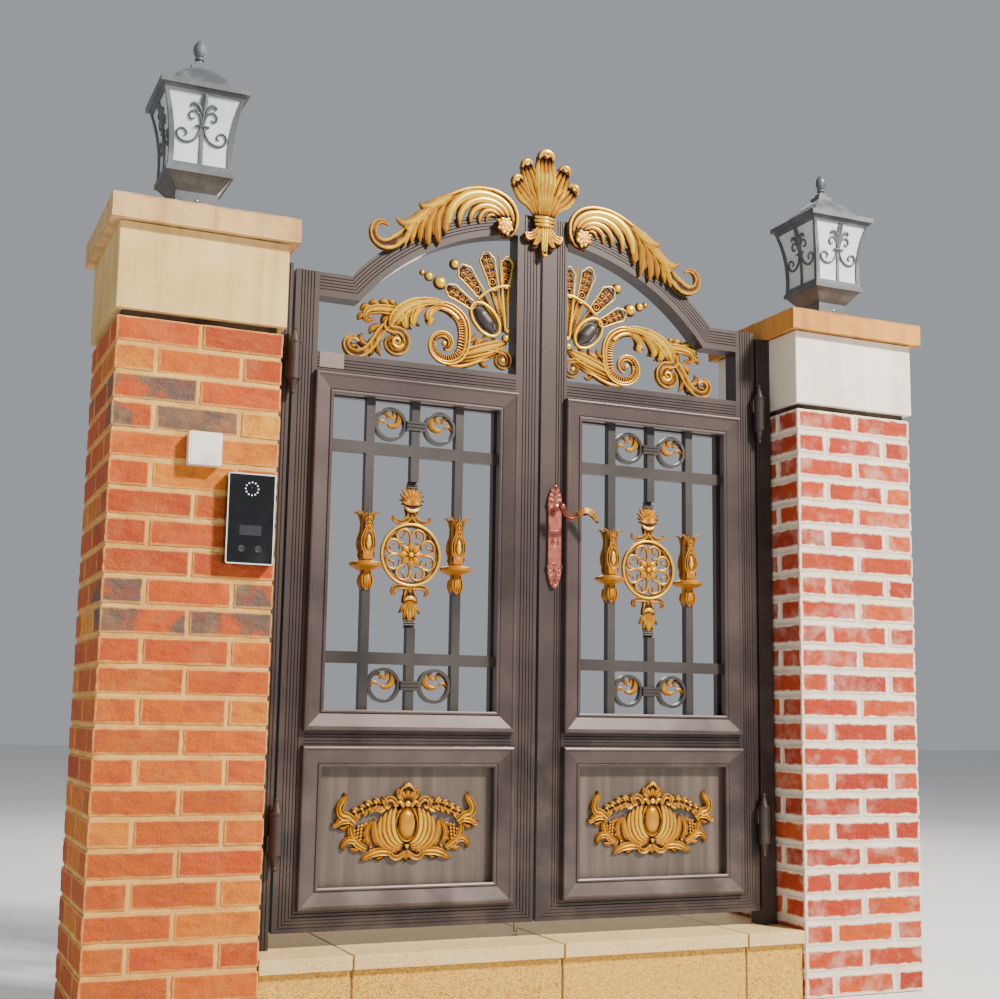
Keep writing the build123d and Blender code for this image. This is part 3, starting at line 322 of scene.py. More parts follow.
class Finish:
    """A material, with the patterns that a finish is made of."""

    def __init__(self, name, roughness=0.5, metallic=0.0, coat=0.0):
        self.material = bpy.data.materials.new(name)
        self.material.use_nodes = True
        self.tree = self.material.node_tree
        self.shader = self.tree.nodes["Principled BSDF"]
        self.shader.inputs["Roughness"].default_value = roughness
        self.shader.inputs["Metallic"].default_value = metallic
        self.shader.inputs["Coat Weight"].default_value = coat
        self.place = self.node("ShaderNodeTexCoord", {}, {}, "Object")

    def node(self, kind, settings, sockets, out=0):
        """Any node: its settings first, then its sockets; gives back one output."""
        made = self.tree.nodes.new(kind)
        for key, value in settings.items():
            setattr(made, key, value)
        for key, value in sockets.items():
            if isinstance(value, Tint):
                self.tree.links.new(value.socket, made.inputs[key])
            else:
                made.inputs[key].default_value = value
        return Tint(self, made.outputs[out])

    def stretched(self, scale):
        """The place on the piece with each axis scaled."""
        return self.node("ShaderNodeMapping", {}, {"Vector": self.place, "Scale": scale})

    def noise(self, scale, detail=3.0, place=None):
        """Cloudy pattern between 0 and 1."""
        sockets = {"Vector": place or self.place, "Scale": scale, "Detail": detail,
                   "Roughness": cloud_roughness}
        return self.node("ShaderNodeTexNoise", {}, sockets)

    def cells(self, scale, out="Distance"):
        """Pattern of cells: grains, pits or chips."""
        return self.node("ShaderNodeTexVoronoi", {"feature": "F1"}, {"Vector": self.place, "Scale": scale},
                         out)

    def combined(self, operation, values):
        """The least or greatest of several numbers."""
        result = values[0]
        for value in values[1:]:
            result = self.node("ShaderNodeMath", {"operation": operation}, {0: result, 1: value})
        return result

    def mix(self, amount, first, second):
        """From the first colour to the second as amount goes from 0 to 1; either may be a six-figure code."""
        first, second = (rgb(colour) if isinstance(colour, str) else colour for colour in (first, second))
        return self.node("ShaderNodeMix", {"data_type": "RGBA"}, {0: amount, 6: first, 7: second}, 2)

    def axis(self, index):
        """One coordinate of the place: 0 across, 1 in depth, 2 up."""
        return self.node("ShaderNodeSeparateXYZ", {}, {0: self.place}, index)

    def attribute(self, name):
        """A number stored on the mesh."""
        return self.node("ShaderNodeAttribute", {"attribute_name": name}, {}, "Fac")

    def feed(self, socket, value):
        """Feeds a socket of the shader."""
        self.tree.links.new(value.socket, self.shader.inputs[socket])

    def colour(self, amount, first, second):
        """The finish's own colour, mixed as above."""
        self.feed("Base Color", self.mix(amount, first, second))

    def shine(self, amount, low, high):
        """The finish's roughness, from low to high as amount goes from 0 to 1."""
        self.feed("Roughness", self.node("ShaderNodeMapRange", {}, {0: amount, 3: low, 4: high}))

    def bump(self, height, strength, distance):
        """Fine relief under the finish; distance in metres."""
        sockets = {"Strength": strength, "Distance": distance, "Height": height}
        self.feed("Normal", self.node("ShaderNodeBump", {}, sockets))


def rgb(code):
    """Linear colour from a six-figure code."""
    parts = [int(code[k:k + 2], 16) / 255 for k in (0, 2, 4)]
    return (*[p / 12.92 if p <= 0.04045 else ((p + 0.055) / 1.055) ** 2.4 for p in parts], 1.0)


def paint(finish, *pieces):
    """Gives a finish to pieces or CAD nodes."""
    for piece in pieces:
        target = nodes[piece] if isinstance(piece, str) else piece
        if not target.material_slots:
            target.data.materials.append(finish.material)
        for place in target.material_slots:
            place.material = finish.material


def clouded(name, shader, cloud, first, second, shine=None, skin=None):
    """A finish of two tones in clouds, which may change its roughness too and bear a fine relief.

    shader holds its roughness, metal and coat; cloud its scale, detail and limits; shine its least and
    greatest roughness; skin the relief's scale, detail, strength and depth in metres.
    """
    finish = Finish(name, *shader)
    clouds = finish.noise(*cloud[:2])
    if cloud[2:]:
        clouds = clouds.step(*cloud[2:])
    finish.colour(clouds, first, second)
    if shine:
        finish.shine(clouds, *shine)
    if skin:
        finish.bump(finish.noise(*skin[:2]), *skin[2:])
    return finish


def fit(finish, piece, body, slot, *replaced):
    """Finishes an added piece and names its body and the CAD nodes it stands for; slot is not used."""
    paint(finish, piece)
    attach(piece, body)
    if replaced:
        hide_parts(*replaced)


# %% [markdown]
# The leaves and posts are extruded aluminium, powder coated a dark bronze with a satin sheen. Real
# coating has a fine orange-peel grain and collects dust in its lower parts, so the finish gets both, at
# millimetre scale.

# %% Bronze coating
def coating(name, dark, light, dust, dust_share, roughness=0.42, grain=900.0):
    """Powder coat: cloudy tone, dust that thins out upwards, fine orange peel."""
    coat = Finish(name, roughness, 0.35, 0.18)
    clouds = coat.noise(2.2, 5.0).step(0.3, 0.72)
    tone = coat.mix(clouds, dark, light)
    specks = coat.noise(130.0, 4.0).step(0.62, 0.74)
    low_down = 1.0 - coat.axis(2).step(0.2, 1.4)
    settled = coat.noise(9.0, 6.0).step(0.42, 0.75) * low_down * dust_share
    coat.colour(settled + specks * (0.5 * dust_share), tone, dust)
    coat.shine(clouds + settled * 1.4, roughness - 0.05, roughness + 0.16)
    coat.bump(coat.noise(grain, 2.0), 0.12, 0.0004)
    return coat


frame_bronze = coating("bronze_coating", "302725", "413532", "8a7666", 0.22)
for side in both_sides:
    for part in ("post", "stiles", "rails", "arched_rail", "fixed_hinges", "leaf_hinges"):
        paint(frame_bronze, f"{side}_{part}")

# %% [markdown]
# The mouldings round the panels and grilles catch the light more than the flat frame, with a mauve cast.
# The bars of the grille are a cooler grey. The panels carry rain streaks, so their clouds are stretched
# upright.

# %% Mouldings, bars and panels
moulding_bronze = coating("moulding_coating", "3f3432", "574947", "94857e", 0.2, 0.34)
bar_grey = coating("bar_coating", "322e2d", "423d3b", "7f756e", 0.16, 0.4)
panel_bronze = Finish("panel_coating", 0.46, 0.3, 0.12)
runs = panel_bronze.noise(1.0, 6.0, panel_bronze.stretched((38.0, 38.0, 1.6))).step(0.35, 0.75)
wash = panel_bronze.noise(3.0, 5.0).step(0.3, 0.7)
panel_base = panel_bronze.mix(wash, "51463f", "5e524a")
grime = panel_bronze.noise(240.0, 3.0).step(0.66, 0.75) * 0.35
panel_bronze.colour(runs * 0.3 + grime, panel_base, "8f8276")
panel_bronze.shine(runs, 0.42, 0.6)
panel_bronze.bump(panel_bronze.noise(700.0, 2.0), 0.1, 0.0004)
for side in both_sides:
    paint(moulding_bronze, f"{side}_lower_moulding", f"{side}_upper_moulding")
    paint(bar_grey, f"{side}_grille")
    paint(panel_bronze, f"{side}_panel")

bolt_steel = Finish("bolt_steel", 0.32, 1.0)
scratches = bolt_steel.noise(6.0, 5.0, bolt_steel.stretched((900.0, 900.0, 20.0)))
bolt_steel.colour(scratches, "8d8b88", "b5b2ad")
bolt_steel.shine(scratches, 0.24, 0.42)
paint(bolt_steel, "drop_bolt", "bolt_guides")
print("coatings", len(bpy.data.materials))


# %% [markdown]
# The step and its coping are a yellow granular stone, nearly a fine exposed aggregate: cream mortar
# between ochre grains with a few dark ones. The coping stones are paler, smoother and worn round at the
# nosing.

# %% Step stones
def grained_stone(name, pale, ochre, dark, grain, wash_amount, pit_depth):
    """Aggregate of ochre and dark grains in a pale ground."""
    stone = Finish(name, 0.82)
    grains = stone.cells(grain, out="Color")
    shade = stone.node("ShaderNodeSeparateColor", {}, {0: grains}, 0)
    body = stone.mix(shade.step(0.15, 0.9), pale, ochre)
    body = stone.mix(shade.step(0.93, 0.97) * 0.7, body, dark)
    clouds = stone.noise(5.0, 6.0).step(0.35, 0.7)
    stone.colour(clouds * wash_amount, body, pale)
    stone.bump(stone.cells(grain) + stone.noise(grain * 0.4, 4.0), 0.5, pit_depth)
    return stone


riser_stone = grained_stone("riser_stone", "dfb352", "b98021", "6a430f", 330.0, 0.25, 0.0014)
coping_stone = grained_stone("coping_stone", "e2c795", "cc9f55", "8a6a38", 520.0, 0.5, 0.0006)


# %% [markdown]
# The piers are two bricks square in stretcher bond: one course shows two stretchers on a face, the next a
# half, a stretcher and a half. One clay brick is shaped with rough faces and soft edges, copied
# into its places with a tone of its own, and stands a few millimetres proud of a core of mortar.

# %% One brick
brick_length, brick_depth, brick_rise = 215 * mm, 102.5 * mm, 65 * mm
mortar_joint = 10 * mm
course_rise = brick_rise + mortar_joint
band_recess = 18 * mm
least_cut = 15 * mm
brick_unevenness, brick_arris = 1.3 * mm, 3.5 * mm


def rough_block(name, size, middle, cuts, unevenness, arris, seed):
    """Block whose faces are slightly uneven and whose edges are worn round."""
    block = plain_box(name, size)
    with editing(block):
        bpy.ops.mesh.subdivide(number_cuts=cuts)
        bpy.ops.transform.vertex_random(offset=unevenness, uniform=0.4, seed=seed)
    soften(block, arris)
    block.location = middle
    return settle(block)


def mark_rims(block, size):
    """Stores how far each point lies from the block's three pairs of faces, for the mortar on its rims."""
    away = np.array(size) / 2 - np.abs(read_points(block))
    inset = block.data.attributes.new("inset", "FLOAT_VECTOR", "POINT")
    inset.data.foreach_set("vector", away.astype(np.float32).ravel())


blanks = []
for seed in range(4):
    size = (brick_length, brick_depth, brick_rise)
    blanks.append(rough_block(f"brick_{seed}", size, (0, 0, 0), 4, brick_unevenness, brick_arris, seed))
    mark_rims(blanks[-1], size)
print("one brick has", triangles(blanks[0]), "triangles")


# %% Bricks in their courses
burnt_share = 0.7
burnt_tones = (0.86, 0.86, 0.96)
least_sink = 0.4
brick_tilt = 0.12


def brick_places(low, high):
    """Middle, height, quarter turns and course of each brick, from the band down to the cut foot course."""
    far = (high.x - low.x) / 2 - brick_depth / 2
    near = (brick_length + mortar_joint) / 2
    places = []
    course = 0
    top = high.z - band_recess
    while top > least_cut:
        rise = min(brick_rise, top - mm)
        spots = [(s * near, t * far, 0) for s in (-1, 1) for t in (-1, 1)]
        spots += [(s * far, 0, 1) for s in (-1, 1)]
        for x, y, quarter in spots:
            if course % 2:
                x, y, quarter = y, x, 1 - quarter
            places.append((Vector((x, y, top - rise / 2)), rise, quarter, course))
        top -= course_rise
        course += 1
    return places


def lay_bricks(name, node, sink, odd_courses):
    """A pier's bricks as one mesh, each set back by up to sink mm; odd_courses hold the overburnt ones."""
    low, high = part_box(node)
    middle = Vector(((low.x + high.x) / 2, (low.y + high.y) / 2, 0))
    laid = []
    for place, rise, quarter, course in brick_places(low, high):
        brick = copied(random.choice(blanks), "laid_brick")
        tone = 0.8 * random.random()
        if course in odd_courses and random.random() < burnt_share:
            tone = random.choice(burnt_tones)
        keep(brick, "tone", tone)
        out = Vector((place.x, place.y, 0)).normalized() * random.uniform(least_sink, sink) * mm
        brick.location = place + middle - out
        brick.scale.z = rise / brick_rise
        tilt = math.radians(random.uniform(-brick_tilt, brick_tilt))
        brick.rotation_euler = (0, tilt, math.radians(90 * quarter + 180 * random.randint(0, 1)))
        laid.append(settle(brick))
    return joined(name, laid)


def mortar_block(name, node, recess, foot, top, cuts, unevenness, seed):
    """Square block of mortar inside a pier, set back from its faces, from foot to top."""
    low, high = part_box(node)
    wide = high.x - low.x - 2 * recess
    middle = ((low.x + high.x) / 2, (low.y + high.y) / 2, (foot + top) / 2)
    return rough_block(name, (wide, wide, top - foot), middle, cuts, unevenness, 1 * mm, seed)


brickwork = {"left": lay_bricks("left_brickwork", "left_pier", 2.4, (2, 3, 9, 10)),
             "right": lay_bricks("right_brickwork", "right_pier", 1.2, ())}
mortar, necks = {}, {}
for side, recess in (("left", 4.6 * mm), ("right", 3.4 * mm)):
    pier = f"{side}_pier"
    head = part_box(pier)[1].z
    core_top = head - band_recess
    mortar[side] = mortar_block(f"{side}_mortar", pier, recess, 2 * mm, core_top, 40, 0.9 * mm, 7)
    necks[side] = mortar_block(f"{side}_neck_joint", pier, 15 * mm, head - 2 * band_recess, head, 12, 1 * mm,
                               8)
    print(side, "brickwork", triangles(brickwork[side]), "triangles")
for blank in blanks:
    bpy.data.objects.remove(blank)


# %% [markdown]
# Fired clay is never one colour: each brick has a tone of its own, darker clots, pale grains and a rough
# skin. On the left pier the joints are sandy and a few bricks are patched with burnt grey. On the right
# pier white mortar is smeared over the arrises.

# %% Brick and mortar finishes
def fired_clay(name, tones, smear_colour, smear_reach, smear_amount, haze_share, burnt=0.0):
    """Clay in several tones, with clots and grains, and mortar smeared over its rims."""
    clay = Finish(name, 0.88)
    tone = clay.attribute("tone")
    colour = tones[0]
    for order, code in enumerate(tones[1:]):
        limit = 0.8 * (order + 1) / len(tones)
        colour = clay.mix(tone.step(limit - 0.04, limit + 0.04), colour, code)
    patches = clay.noise(8.0, 4.0).step(0.44, 0.56) * burnt
    colour = clay.mix(tone.step(0.81, 0.84) * patches, colour, "5b4a42")
    colour = clay.mix(tone.step(0.9, 0.93) * burnt, colour, "d88f1e")
    clots = clay.noise(30.0, 6.0).step(0.42, 0.7)
    colour = clay.mix(clots * 0.5, colour, "8c3a26")
    grains = clay.noise(330.0, 3.0).step(0.58, 0.7)
    colour = clay.mix(grains * 0.3, colour, "e8a054")
    # Small dark dots are painted shade in the clay's pits.
    pit_shade = clay.cells(260.0).step(0.0, 0.22)
    colour = clay.mix((1.0 - pit_shade) * 0.5, colour, "5a2419")
    inset = clay.node("ShaderNodeAttribute", {"attribute_name": "inset"}, {}, "Vector")
    apart = [clay.node("ShaderNodeSeparateXYZ", {}, {0: inset}, k) for k in range(3)]
    nearest = clay.combined("MINIMUM", apart)
    furthest = clay.combined("MAXIMUM", apart)
    rim = apart[0] + apart[1] + apart[2] - nearest - furthest
    ragged = clay.noise(34.0, 5.0) * smear_reach
    haze = clay.noise(16.0, 6.0).step(0.45, 0.75) * (smear_amount * haze_share)
    colour = clay.mix(haze, colour, smear_colour)
    smear = (1.0 - (rim - ragged).step(-0.004, 0.003)) * smear_amount
    clay.colour(smear, colour, smear_colour)
    clay.bump(clay.noise(150.0, 6.0) + clay.noise(48.0, 4.0) * 1.6 + smear * 0.4, 0.9, 0.003)
    return clay


def lime_mortar(name, pale, dark):
    """Sandy joint."""
    bed = Finish(name, 0.92)
    sand = bed.noise(420.0, 4.0)
    cloud = bed.noise(12.0, 5.0).step(0.3, 0.7)
    colour = bed.mix(cloud, pale, dark)
    bed.colour(sand.step(0.58, 0.7) * 0.5, colour, "8a7b63")
    bed.bump(sand, 0.8, 0.002)
    return bed


warm_tones = ["b34208", "c05a06", "a43a09", "cb720a", "b04f0a", "bb4c07"]
red_tones = ["a92f0c", "b53c0e", "9c270c", "bf4c12", "a8350f"]
clays = {"left": fired_clay("warm_clay", warm_tones, "e2ac5a", 0.009, 0.7, 0.2, 1.0),
         "right": fired_clay("red_clay", red_tones, "eedfcb", 0.017, 0.92, 0.3)}
limes = {"left": lime_mortar("sandy_mortar", "e6b766", "cb9546"),
         "right": lime_mortar("white_mortar", "f0e6d6", "dccdb6")}
# The dark mortar of the neck joint under each stone band is painted shade, for the shadow under the band.
painted_shade_joint = lime_mortar("painted_shade_joint", "51443a", "2c241e")
for side in both_sides:
    fit(clays[side], brickwork[side], "surround", "brick", f"{side}_pier")
    fit(limes[side], mortar[side], "surround", "brick")
    fit(painted_shade_joint, necks[side], "surround", "brick")


# %% [markdown]
# The bands under the caps are smooth cut stone, cream on the left pier and whiter on the right, with
# faint upright rain streaks. The caps above them are a sandier stone with weathered edges.

# %% Band and cap stones
def cut_stone(name, pale, shade, streak, streak_share):
    """Fine stone with soft clouds and rain streaks."""
    stone = Finish(name, 0.8)
    clouds = stone.noise(4.0, 6.0).step(0.35, 0.68)
    runs = stone.noise(1.0, 6.0, stone.stretched((26.0, 26.0, 1.4))).step(0.42, 0.75)
    grain = stone.noise(380.0, 3.0)
    colour = stone.mix(clouds, pale, shade)
    colour = stone.mix(runs * streak_share, colour, streak)
    stone.colour(grain.step(0.6, 0.72) * 0.25, colour, streak)
    stone.bump(grain + clouds * 0.5, 0.35, 0.0008)
    return stone


paint(cut_stone("cream_band_stone", "e6c583", "d6ae66", "94753f", 0.4), "left_stone_band")
paint(cut_stone("white_band_stone", "efe9dc", "e3d9c6", "b5a68c", 0.3), "right_stone_band")
cap_finishes = {"left": cut_stone("pale_cap_stone", "d9b078", "c49658", "7f5f3a", 0.45),
                "right": cut_stone("cap_stone", "d2913d", "b97a2e", "7d5226", 0.45)}
all_round = Vector((1, 1, 1))
cap_margin = 1.3 * mm
cap_wear = 5 * mm


def weathered_slab(name, node, wear):
    """Block in a CAD slab's place with edges worn by the weather, nowhere larger than the slab."""
    low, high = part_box(node)
    slab = rough_block(name, high - low - all_round * 2 * cap_margin, (low + high) / 2, 30, 0.0, wear * 0.7,
                       3)
    pitting = bpy.data.textures.new(name + "_pitting", "CLOUDS")
    pitting.noise_scale = 0.035
    pitting.noise_depth = 3
    worn = slab.modifiers.new("pitting", "DISPLACE")
    worn.texture = pitting
    worn.texture_coords = "LOCAL"
    worn.strength = -wear
    worn.mid_level = 0.0
    bpy.ops.object.modifier_apply(modifier="pitting")
    return slab


for side in both_sides:
    cap = weathered_slab(f"{side}_worn_cap", f"{side}_pier_cap", cap_wear)
    fit(cap_finishes[side], cap, "surround", "cap_stone", f"{side}_pier_cap")
print("cap", triangles(cap), "triangles")

# %% [markdown]
# The coping is laid in four lengths with narrow joints, and the riser below it in blocks that share those
# joints. Each length is a worn slab with a rounded nosing, so that the joints show in its outline too.

# %% Coping and riser in lengths
joint_places = (-0.58, 0.03, 0.63)
stone_joint = 5 * mm
bed_recess = Vector((6, 6, 3)) * mm


def stone_lengths(name, node, wear, nose, finish, joint_finish, slot):
    """A long course cut into lengths at the joints, over a recessed bed of mortar."""
    low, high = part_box(node)
    ends = [low.x, *joint_places, high.x]
    lengths = []
    for order, (start, stop) in enumerate(zip(ends[:-1], ends[1:])):
        first = start + (stone_joint / 2 if order else 0)
        last = stop - (stone_joint / 2 if order < len(joint_places) else 0)
        size = Vector((last - first, high.y - low.y, high.z - low.z)) - all_round * 2 * wear
        middle = ((first + last) / 2, (low.y + high.y) / 2, (low.z + high.z) / 2)
        lengths.append(rough_block(f"{name}_{order}", size, middle, 14, wear, nose, order))
    fit(finish, joined(name, lengths), "surround", slot, node)
    bed_size = high - low - 2 * bed_recess
    bed = rough_block(f"{name}_joints", bed_size, (low + high) / 2, 20, 0.5 * mm, 1 * mm, 5)
    fit(joint_finish, bed, "surround", slot)


joint_mortar = lime_mortar("joint_mortar", "a98e5c", "7f6840")
stone_lengths("coping_stones", "threshold", 0.5 * mm, 7 * mm, coping_stone, joint_mortar, "coping_stone")
stone_lengths("riser_stones", "step_riser", 0.8 * mm, 3 * mm, riser_stone, joint_mortar, "step_masonry")


# %% [markdown]
# The gilt ornaments are castings: acanthus scrolls made of strands that swell, overlap and taper to a
# tip. Each strand is a curve with its own width at every point and a moulded section. The strands are
# laid over each other in a flat pattern, turned into one mesh, stood upright, and pressed nearly flat at
# the back, where the casting is seated; there each strand ends at a small depth of its own.

# %% Strands and sections
half_sections = {
    "round": [(-1, -1.4), (-1, 0), (-0.9, 0.38), (-0.66, 0.66), (-0.34, 0.82), (0, 0.87)],
    "fluted": [(-1, -1.4), (-1, 0.2), (-0.93, 0.6), (-0.76, 0.74), (-0.58, 0.6), (-0.34, 0.34), (0, 0.24)],
    "ridge": [(-1, -1.4), (-1, 0.05), (-0.9, 0.2), (-0.5, 0.26), (-0.2, 0.46), (0, 0.74)],
    "ribbed": [(-1, -1.4), (-1, 0.3), (-0.86, 0.62), (-0.68, 0.5), (-0.5, 0.28), (-0.3, 0.5), (0, 0.74)],
    "flat": [(-1, -1.4), (-1, 0.1), (-0.92, 0.22), (0, 0.26)],
}


def sided(side, points):
    """Points given for one half, carried to the other half where side is -1."""
    return [(side * u, v) for u, v in points]


sections = {name: half + sided(-1, half[-2::-1]) for name, half in half_sections.items()}


def section_curve(name):
    """Closed outline that is swept along the strands."""
    outline = bpy.data.curves.new(f"section_{name}", "CURVE")
    outline.dimensions = "2D"
    line = outline.splines.new("POLY")
    line.points.add(len(sections[name]) - 1)
    for knot, (across, high) in zip(line.points, sections[name]):
        knot.co = (across, high, 0, 1)
    line.use_cyclic_u = True
    holder = bpy.data.objects.new(f"section_{name}", outline)
    bpy.context.scene.collection.objects.link(holder)
    return holder


section_holders = {name: section_curve(name) for name in sections}
least_width = 0.12
seat_depth = 0.25 * mm
golden_ratio = 0.618034
soft_share = 0.7
smooth_angle = math.radians(50)
relief_cell = 3 * mm
full_hollow = 9 * mm
plain_hollow = 0.45


def spread(values, count):
    """A few values run out evenly to one for each of count points."""
    if not isinstance(values, (list, tuple)):
        return [values] * count
    return list(np.interp(np.linspace(0, len(values) - 1, count), range(len(values)), values))


def spiral(middle, radius, start, sweep, shrink, count=9):
    """Points of a scroll that tightens by shrink for each radian; angles in degrees."""
    points = []
    for order in range(count):
        turn = math.radians(sweep) * order / (count - 1)
        reach = radius * math.exp(-shrink * abs(turn))
        angle = math.radians(start) + turn
        points.append((middle[0] + reach * math.cos(angle), middle[1] + reach * math.sin(angle)))
    return points


def walk(points, share):
    """Place and direction part of the way along a smooth line through points."""
    last = len(points) - 1
    k = min(int(share * last), last - 1)
    f = share * last - k
    a, b, c, d = [np.array(points[min(max(k + step, 0), last)], float) for step in (-1, 0, 1, 2)]
    square, cube = 2 * a - 5 * b + 4 * c - d, 3 * b - a - 3 * c + d
    place = 0.5 * (2 * b + (c - a) * f + square * f ** 2 + cube * f ** 3)
    heading = 0.5 * ((c - a) + 2 * square * f + 3 * cube * f ** 2)
    return place, heading / (np.linalg.norm(heading) + 1e-9)


def turned(vector, degrees):
    """A flat direction turned anticlockwise."""
    (u, v), angle = vector, math.radians(degrees)
    return np.array([u * math.cos(angle) - v * math.sin(angle), u * math.sin(angle) + v * math.cos(angle)])


def ray(root, angle, *reaches):
    """Points on a straight line from a root, at these distances."""
    return [np.array(root) + turned((1, 0), angle) * reach for reach in reaches]


def upright(x, z, unit=mm):
    """The way from a pattern to the gate: its origin at x and z, its units this long."""
    return lambda u, v: (x + u * unit, z + v * unit)


class Casting:
    """Pattern of strands and beads. place turns its points into x and z; unit scales widths and lifts."""

    def __init__(self, place, unit=mm):
        self.unit = unit
        self.place = place
        self.strands = {name: [] for name in sections}
        self.beads = []

    def strand(self, points, widths, section="round", lift=0.0, closed=False):
        """Line through the points with half widths spread along it."""
        self.strands[section].append((points, widths, lift, closed))

    def both(self, points, widths, section="round", lift=0.0):
        """The same strand on both sides of the middle line."""
        for side in (1, -1):
            self.strand(sided(side, points), widths, section, lift)

    def bead(self, u, v, radius, lift=0.0, tall=1.0, high=0.9):
        """Round or oval boss; tall and high are its height in the pattern and its rise, to its half width."""
        self.beads.append((u, v, radius, lift, tall, high))

    def loop(self, u, v, wide, tall, width, section="round", lift=0.0, tilt=0.0, count=12):
        """Closed ring, round or oval, turned by tilt degrees."""
        angles = [2 * math.pi * order / count for order in range(count)]
        ring = [turned((wide * math.cos(a), tall * math.sin(a)), tilt) + np.array([u, v]) for a in angles]
        self.strand(ring, width, section, lift, True)

    def sweep(self, section):
        """All the strands of one section as a mesh object, flat in the pattern's plane."""
        data = bpy.data.curves.new("strands", "CURVE")
        data.dimensions = "3D"
        data.twist_mode = "Z_UP"
        data.bevel_mode = "OBJECT"
        data.bevel_object = section_holders[section]
        data.use_fill_caps = True
        data.resolution_u = 5
        for points, widths, lift, closed in self.strands[section]:
            line = data.splines.new("BEZIER")
            line.bezier_points.add(len(points) - 1)
            line.use_cyclic_u = closed
            shape = zip(line.bezier_points, points, spread(widths, len(points)), spread(lift, len(points)))
            for knot, point, width, high in shape:
                x, z = self.place(*point)
                knot.co = (x, z, high * self.unit)
                knot.handle_left_type = knot.handle_right_type = "AUTO"
                knot.radius = max(width, least_width) * self.unit
        strands = bpy.data.objects.new("strands", data)
        bpy.context.scene.collection.objects.link(strands)
        select_only(strands)
        bpy.ops.object.convert(target="MESH")
        return bpy.context.object

    def round_beads(self):
        """The bosses, as low domes."""
        domes = []
        for u, v, radius, lift, tall, high in self.beads:
            x, z = self.place(u, v)
            bpy.ops.mesh.primitive_uv_sphere_add(segments=14, ring_count=8, radius=radius * self.unit)
            dome = bpy.context.object
            dome.scale = (1, tall, high)
            dome.location = (x, z, lift * self.unit)
            domes.append(settle(dome))
        return domes

    def build(self, name, back, front):
        """The casting as one upright mesh between its back and front planes, its hollows marked."""
        parts = [self.sweep(section) for section in sections if self.strands[section]] + self.round_beads()
        casting = joined(name, parts)
        with editing(casting):
            bpy.ops.mesh.remove_doubles(threshold=0.02 * mm)
        depth = back - front
        across, up, high = read_points(casting).T
        high = np.clip(high, 0, None)
        soft = soft_share * depth
        over = high > soft
        high[over] = soft + (depth - soft) * np.tanh((high[over] - soft) / (depth - soft))
        share = (strand_numbers(casting) * golden_ratio) % 1
        move_points(casting, np.column_stack([across, back - high + (high <= 0) * share * seat_depth, up]))
        mark_hollows(casting, across, up, high)
        select_only(casting)
        bpy.ops.object.shade_smooth_by_angle(angle=smooth_angle)
        return casting


def strand_numbers(piece):
    """For each point the number of its strand's first point, which sets how deep the strand's back lies."""
    ends = np.zeros(2 * len(piece.data.edges), dtype=np.int32)
    piece.data.edges.foreach_get("vertices", ends)
    first, second = ends.reshape(-1, 2).T
    lowest = np.arange(len(piece.data.vertices))
    while True:
        lower = np.minimum(lowest[first], lowest[second])
        fresh = lowest.copy()
        np.minimum.at(fresh, first, lower)
        np.minimum.at(fresh, second, lower)
        fresh = fresh[fresh]
        if (fresh == lowest).all():
            return lowest
        lowest = fresh


def mark_hollows(piece, across, up, high, reach=4):
    """Stores how far each point lies under the relief round it, for painted shade in hollows and a painted
    highlight on ridges.
    """
    column = ((across - across.min()) / relief_cell).astype(int) + reach
    row = ((up - up.min()) / relief_cell).astype(int) + reach
    relief = np.zeros((column.max() + reach + 1, row.max() + reach + 1))
    seen = np.zeros_like(relief)
    np.maximum.at(relief, (column, row), high)
    seen[column, row] = 1
    total, count = np.zeros_like(relief), np.zeros_like(relief)
    for i in range(-reach, reach + 1):
        for j in range(-reach, reach + 1):
            total += np.roll(relief * seen, (i, j), (0, 1))
            count += np.roll(seen, (i, j), (0, 1))
    level = total / np.maximum(count, 1)
    hollow = np.clip(0.5 + (level[column, row] - high) / full_hollow, 0, 1)
    rearward = read_points(piece, "normal")[:, 1] > 0.25
    hollow[(high < 0.5 * mm) | rearward] = plain_hollow
    keep(piece, "hollow", hollow)


# %% [markdown]
# The crest scroll rides over the arched rail. Its pattern is given along the rail and above the rail's
# edge: a thin rim round the volute, five nested flutes that end in hanging tips, a row of leaves under
# the stem, two upturned tips and an open curl at the end. A knob packed with seeds fills the volute.

# %% Crest scroll
leaf_underside = 242 * mm
arch_middle = leaf_underside + 1295 * mm
arch_edge = 797 * mm
crest_unit = 5 * mm
casting_back, crest_front = -80.3 * mm, -106.3 * mm


def along_arch(u, v):
    """Pattern place to gate place: u along the rail from the crown, v over its outer edge."""
    angle = u * crest_unit / arch_edge
    reach = arch_edge + v * crest_unit
    return reach * math.sin(angle), arch_middle + reach * math.cos(angle)


crest = Casting(along_arch, crest_unit)
crest.strand([(31, -15.4), (25, -15), (20.4, -11), (18.4, -5), (18.8, 1.4), (22, 7.4), (28, 12.2), (36, 15),
              (45, 16), (54.8, 15), (62.2, 13.4), (69.2, 12)], [0.9, 1.1, 1.2, 1.2, 1.1, 0.8], "round", 2.6)
crest.strand([(21.6, -9), (21.4, -1), (25, 5.4), (32.5, 10.4), (43, 12.6), (53, 10.6), (60, 5.6), (64.5, -1),
              (65.6, -4)],
             [1.4, 2, 2.4, 2.8, 3.2, 3.4, 3.2, 2.2, 0.5], "round", 1.2)
crest.strand([(24, -6), (24.6, -0.4), (28.6, 4.6), (35.4, 8), (43, 8.6), (50.5, 6), (55.6, 1), (57.8, -4.6)],
             [1.1, 1.7, 2.1, 2.5, 2.8, 2.8, 2.4, 0.8], "round", 1.0)
crest.strand([(26, -4), (27.8, 0), (32, 3.4), (37.6, 5), (43.4, 4), (48, 0.4), (50, -4)],
             [1, 1.5, 1.9, 2.1, 2.2, 1.9, 0.8], "round", 0.8)
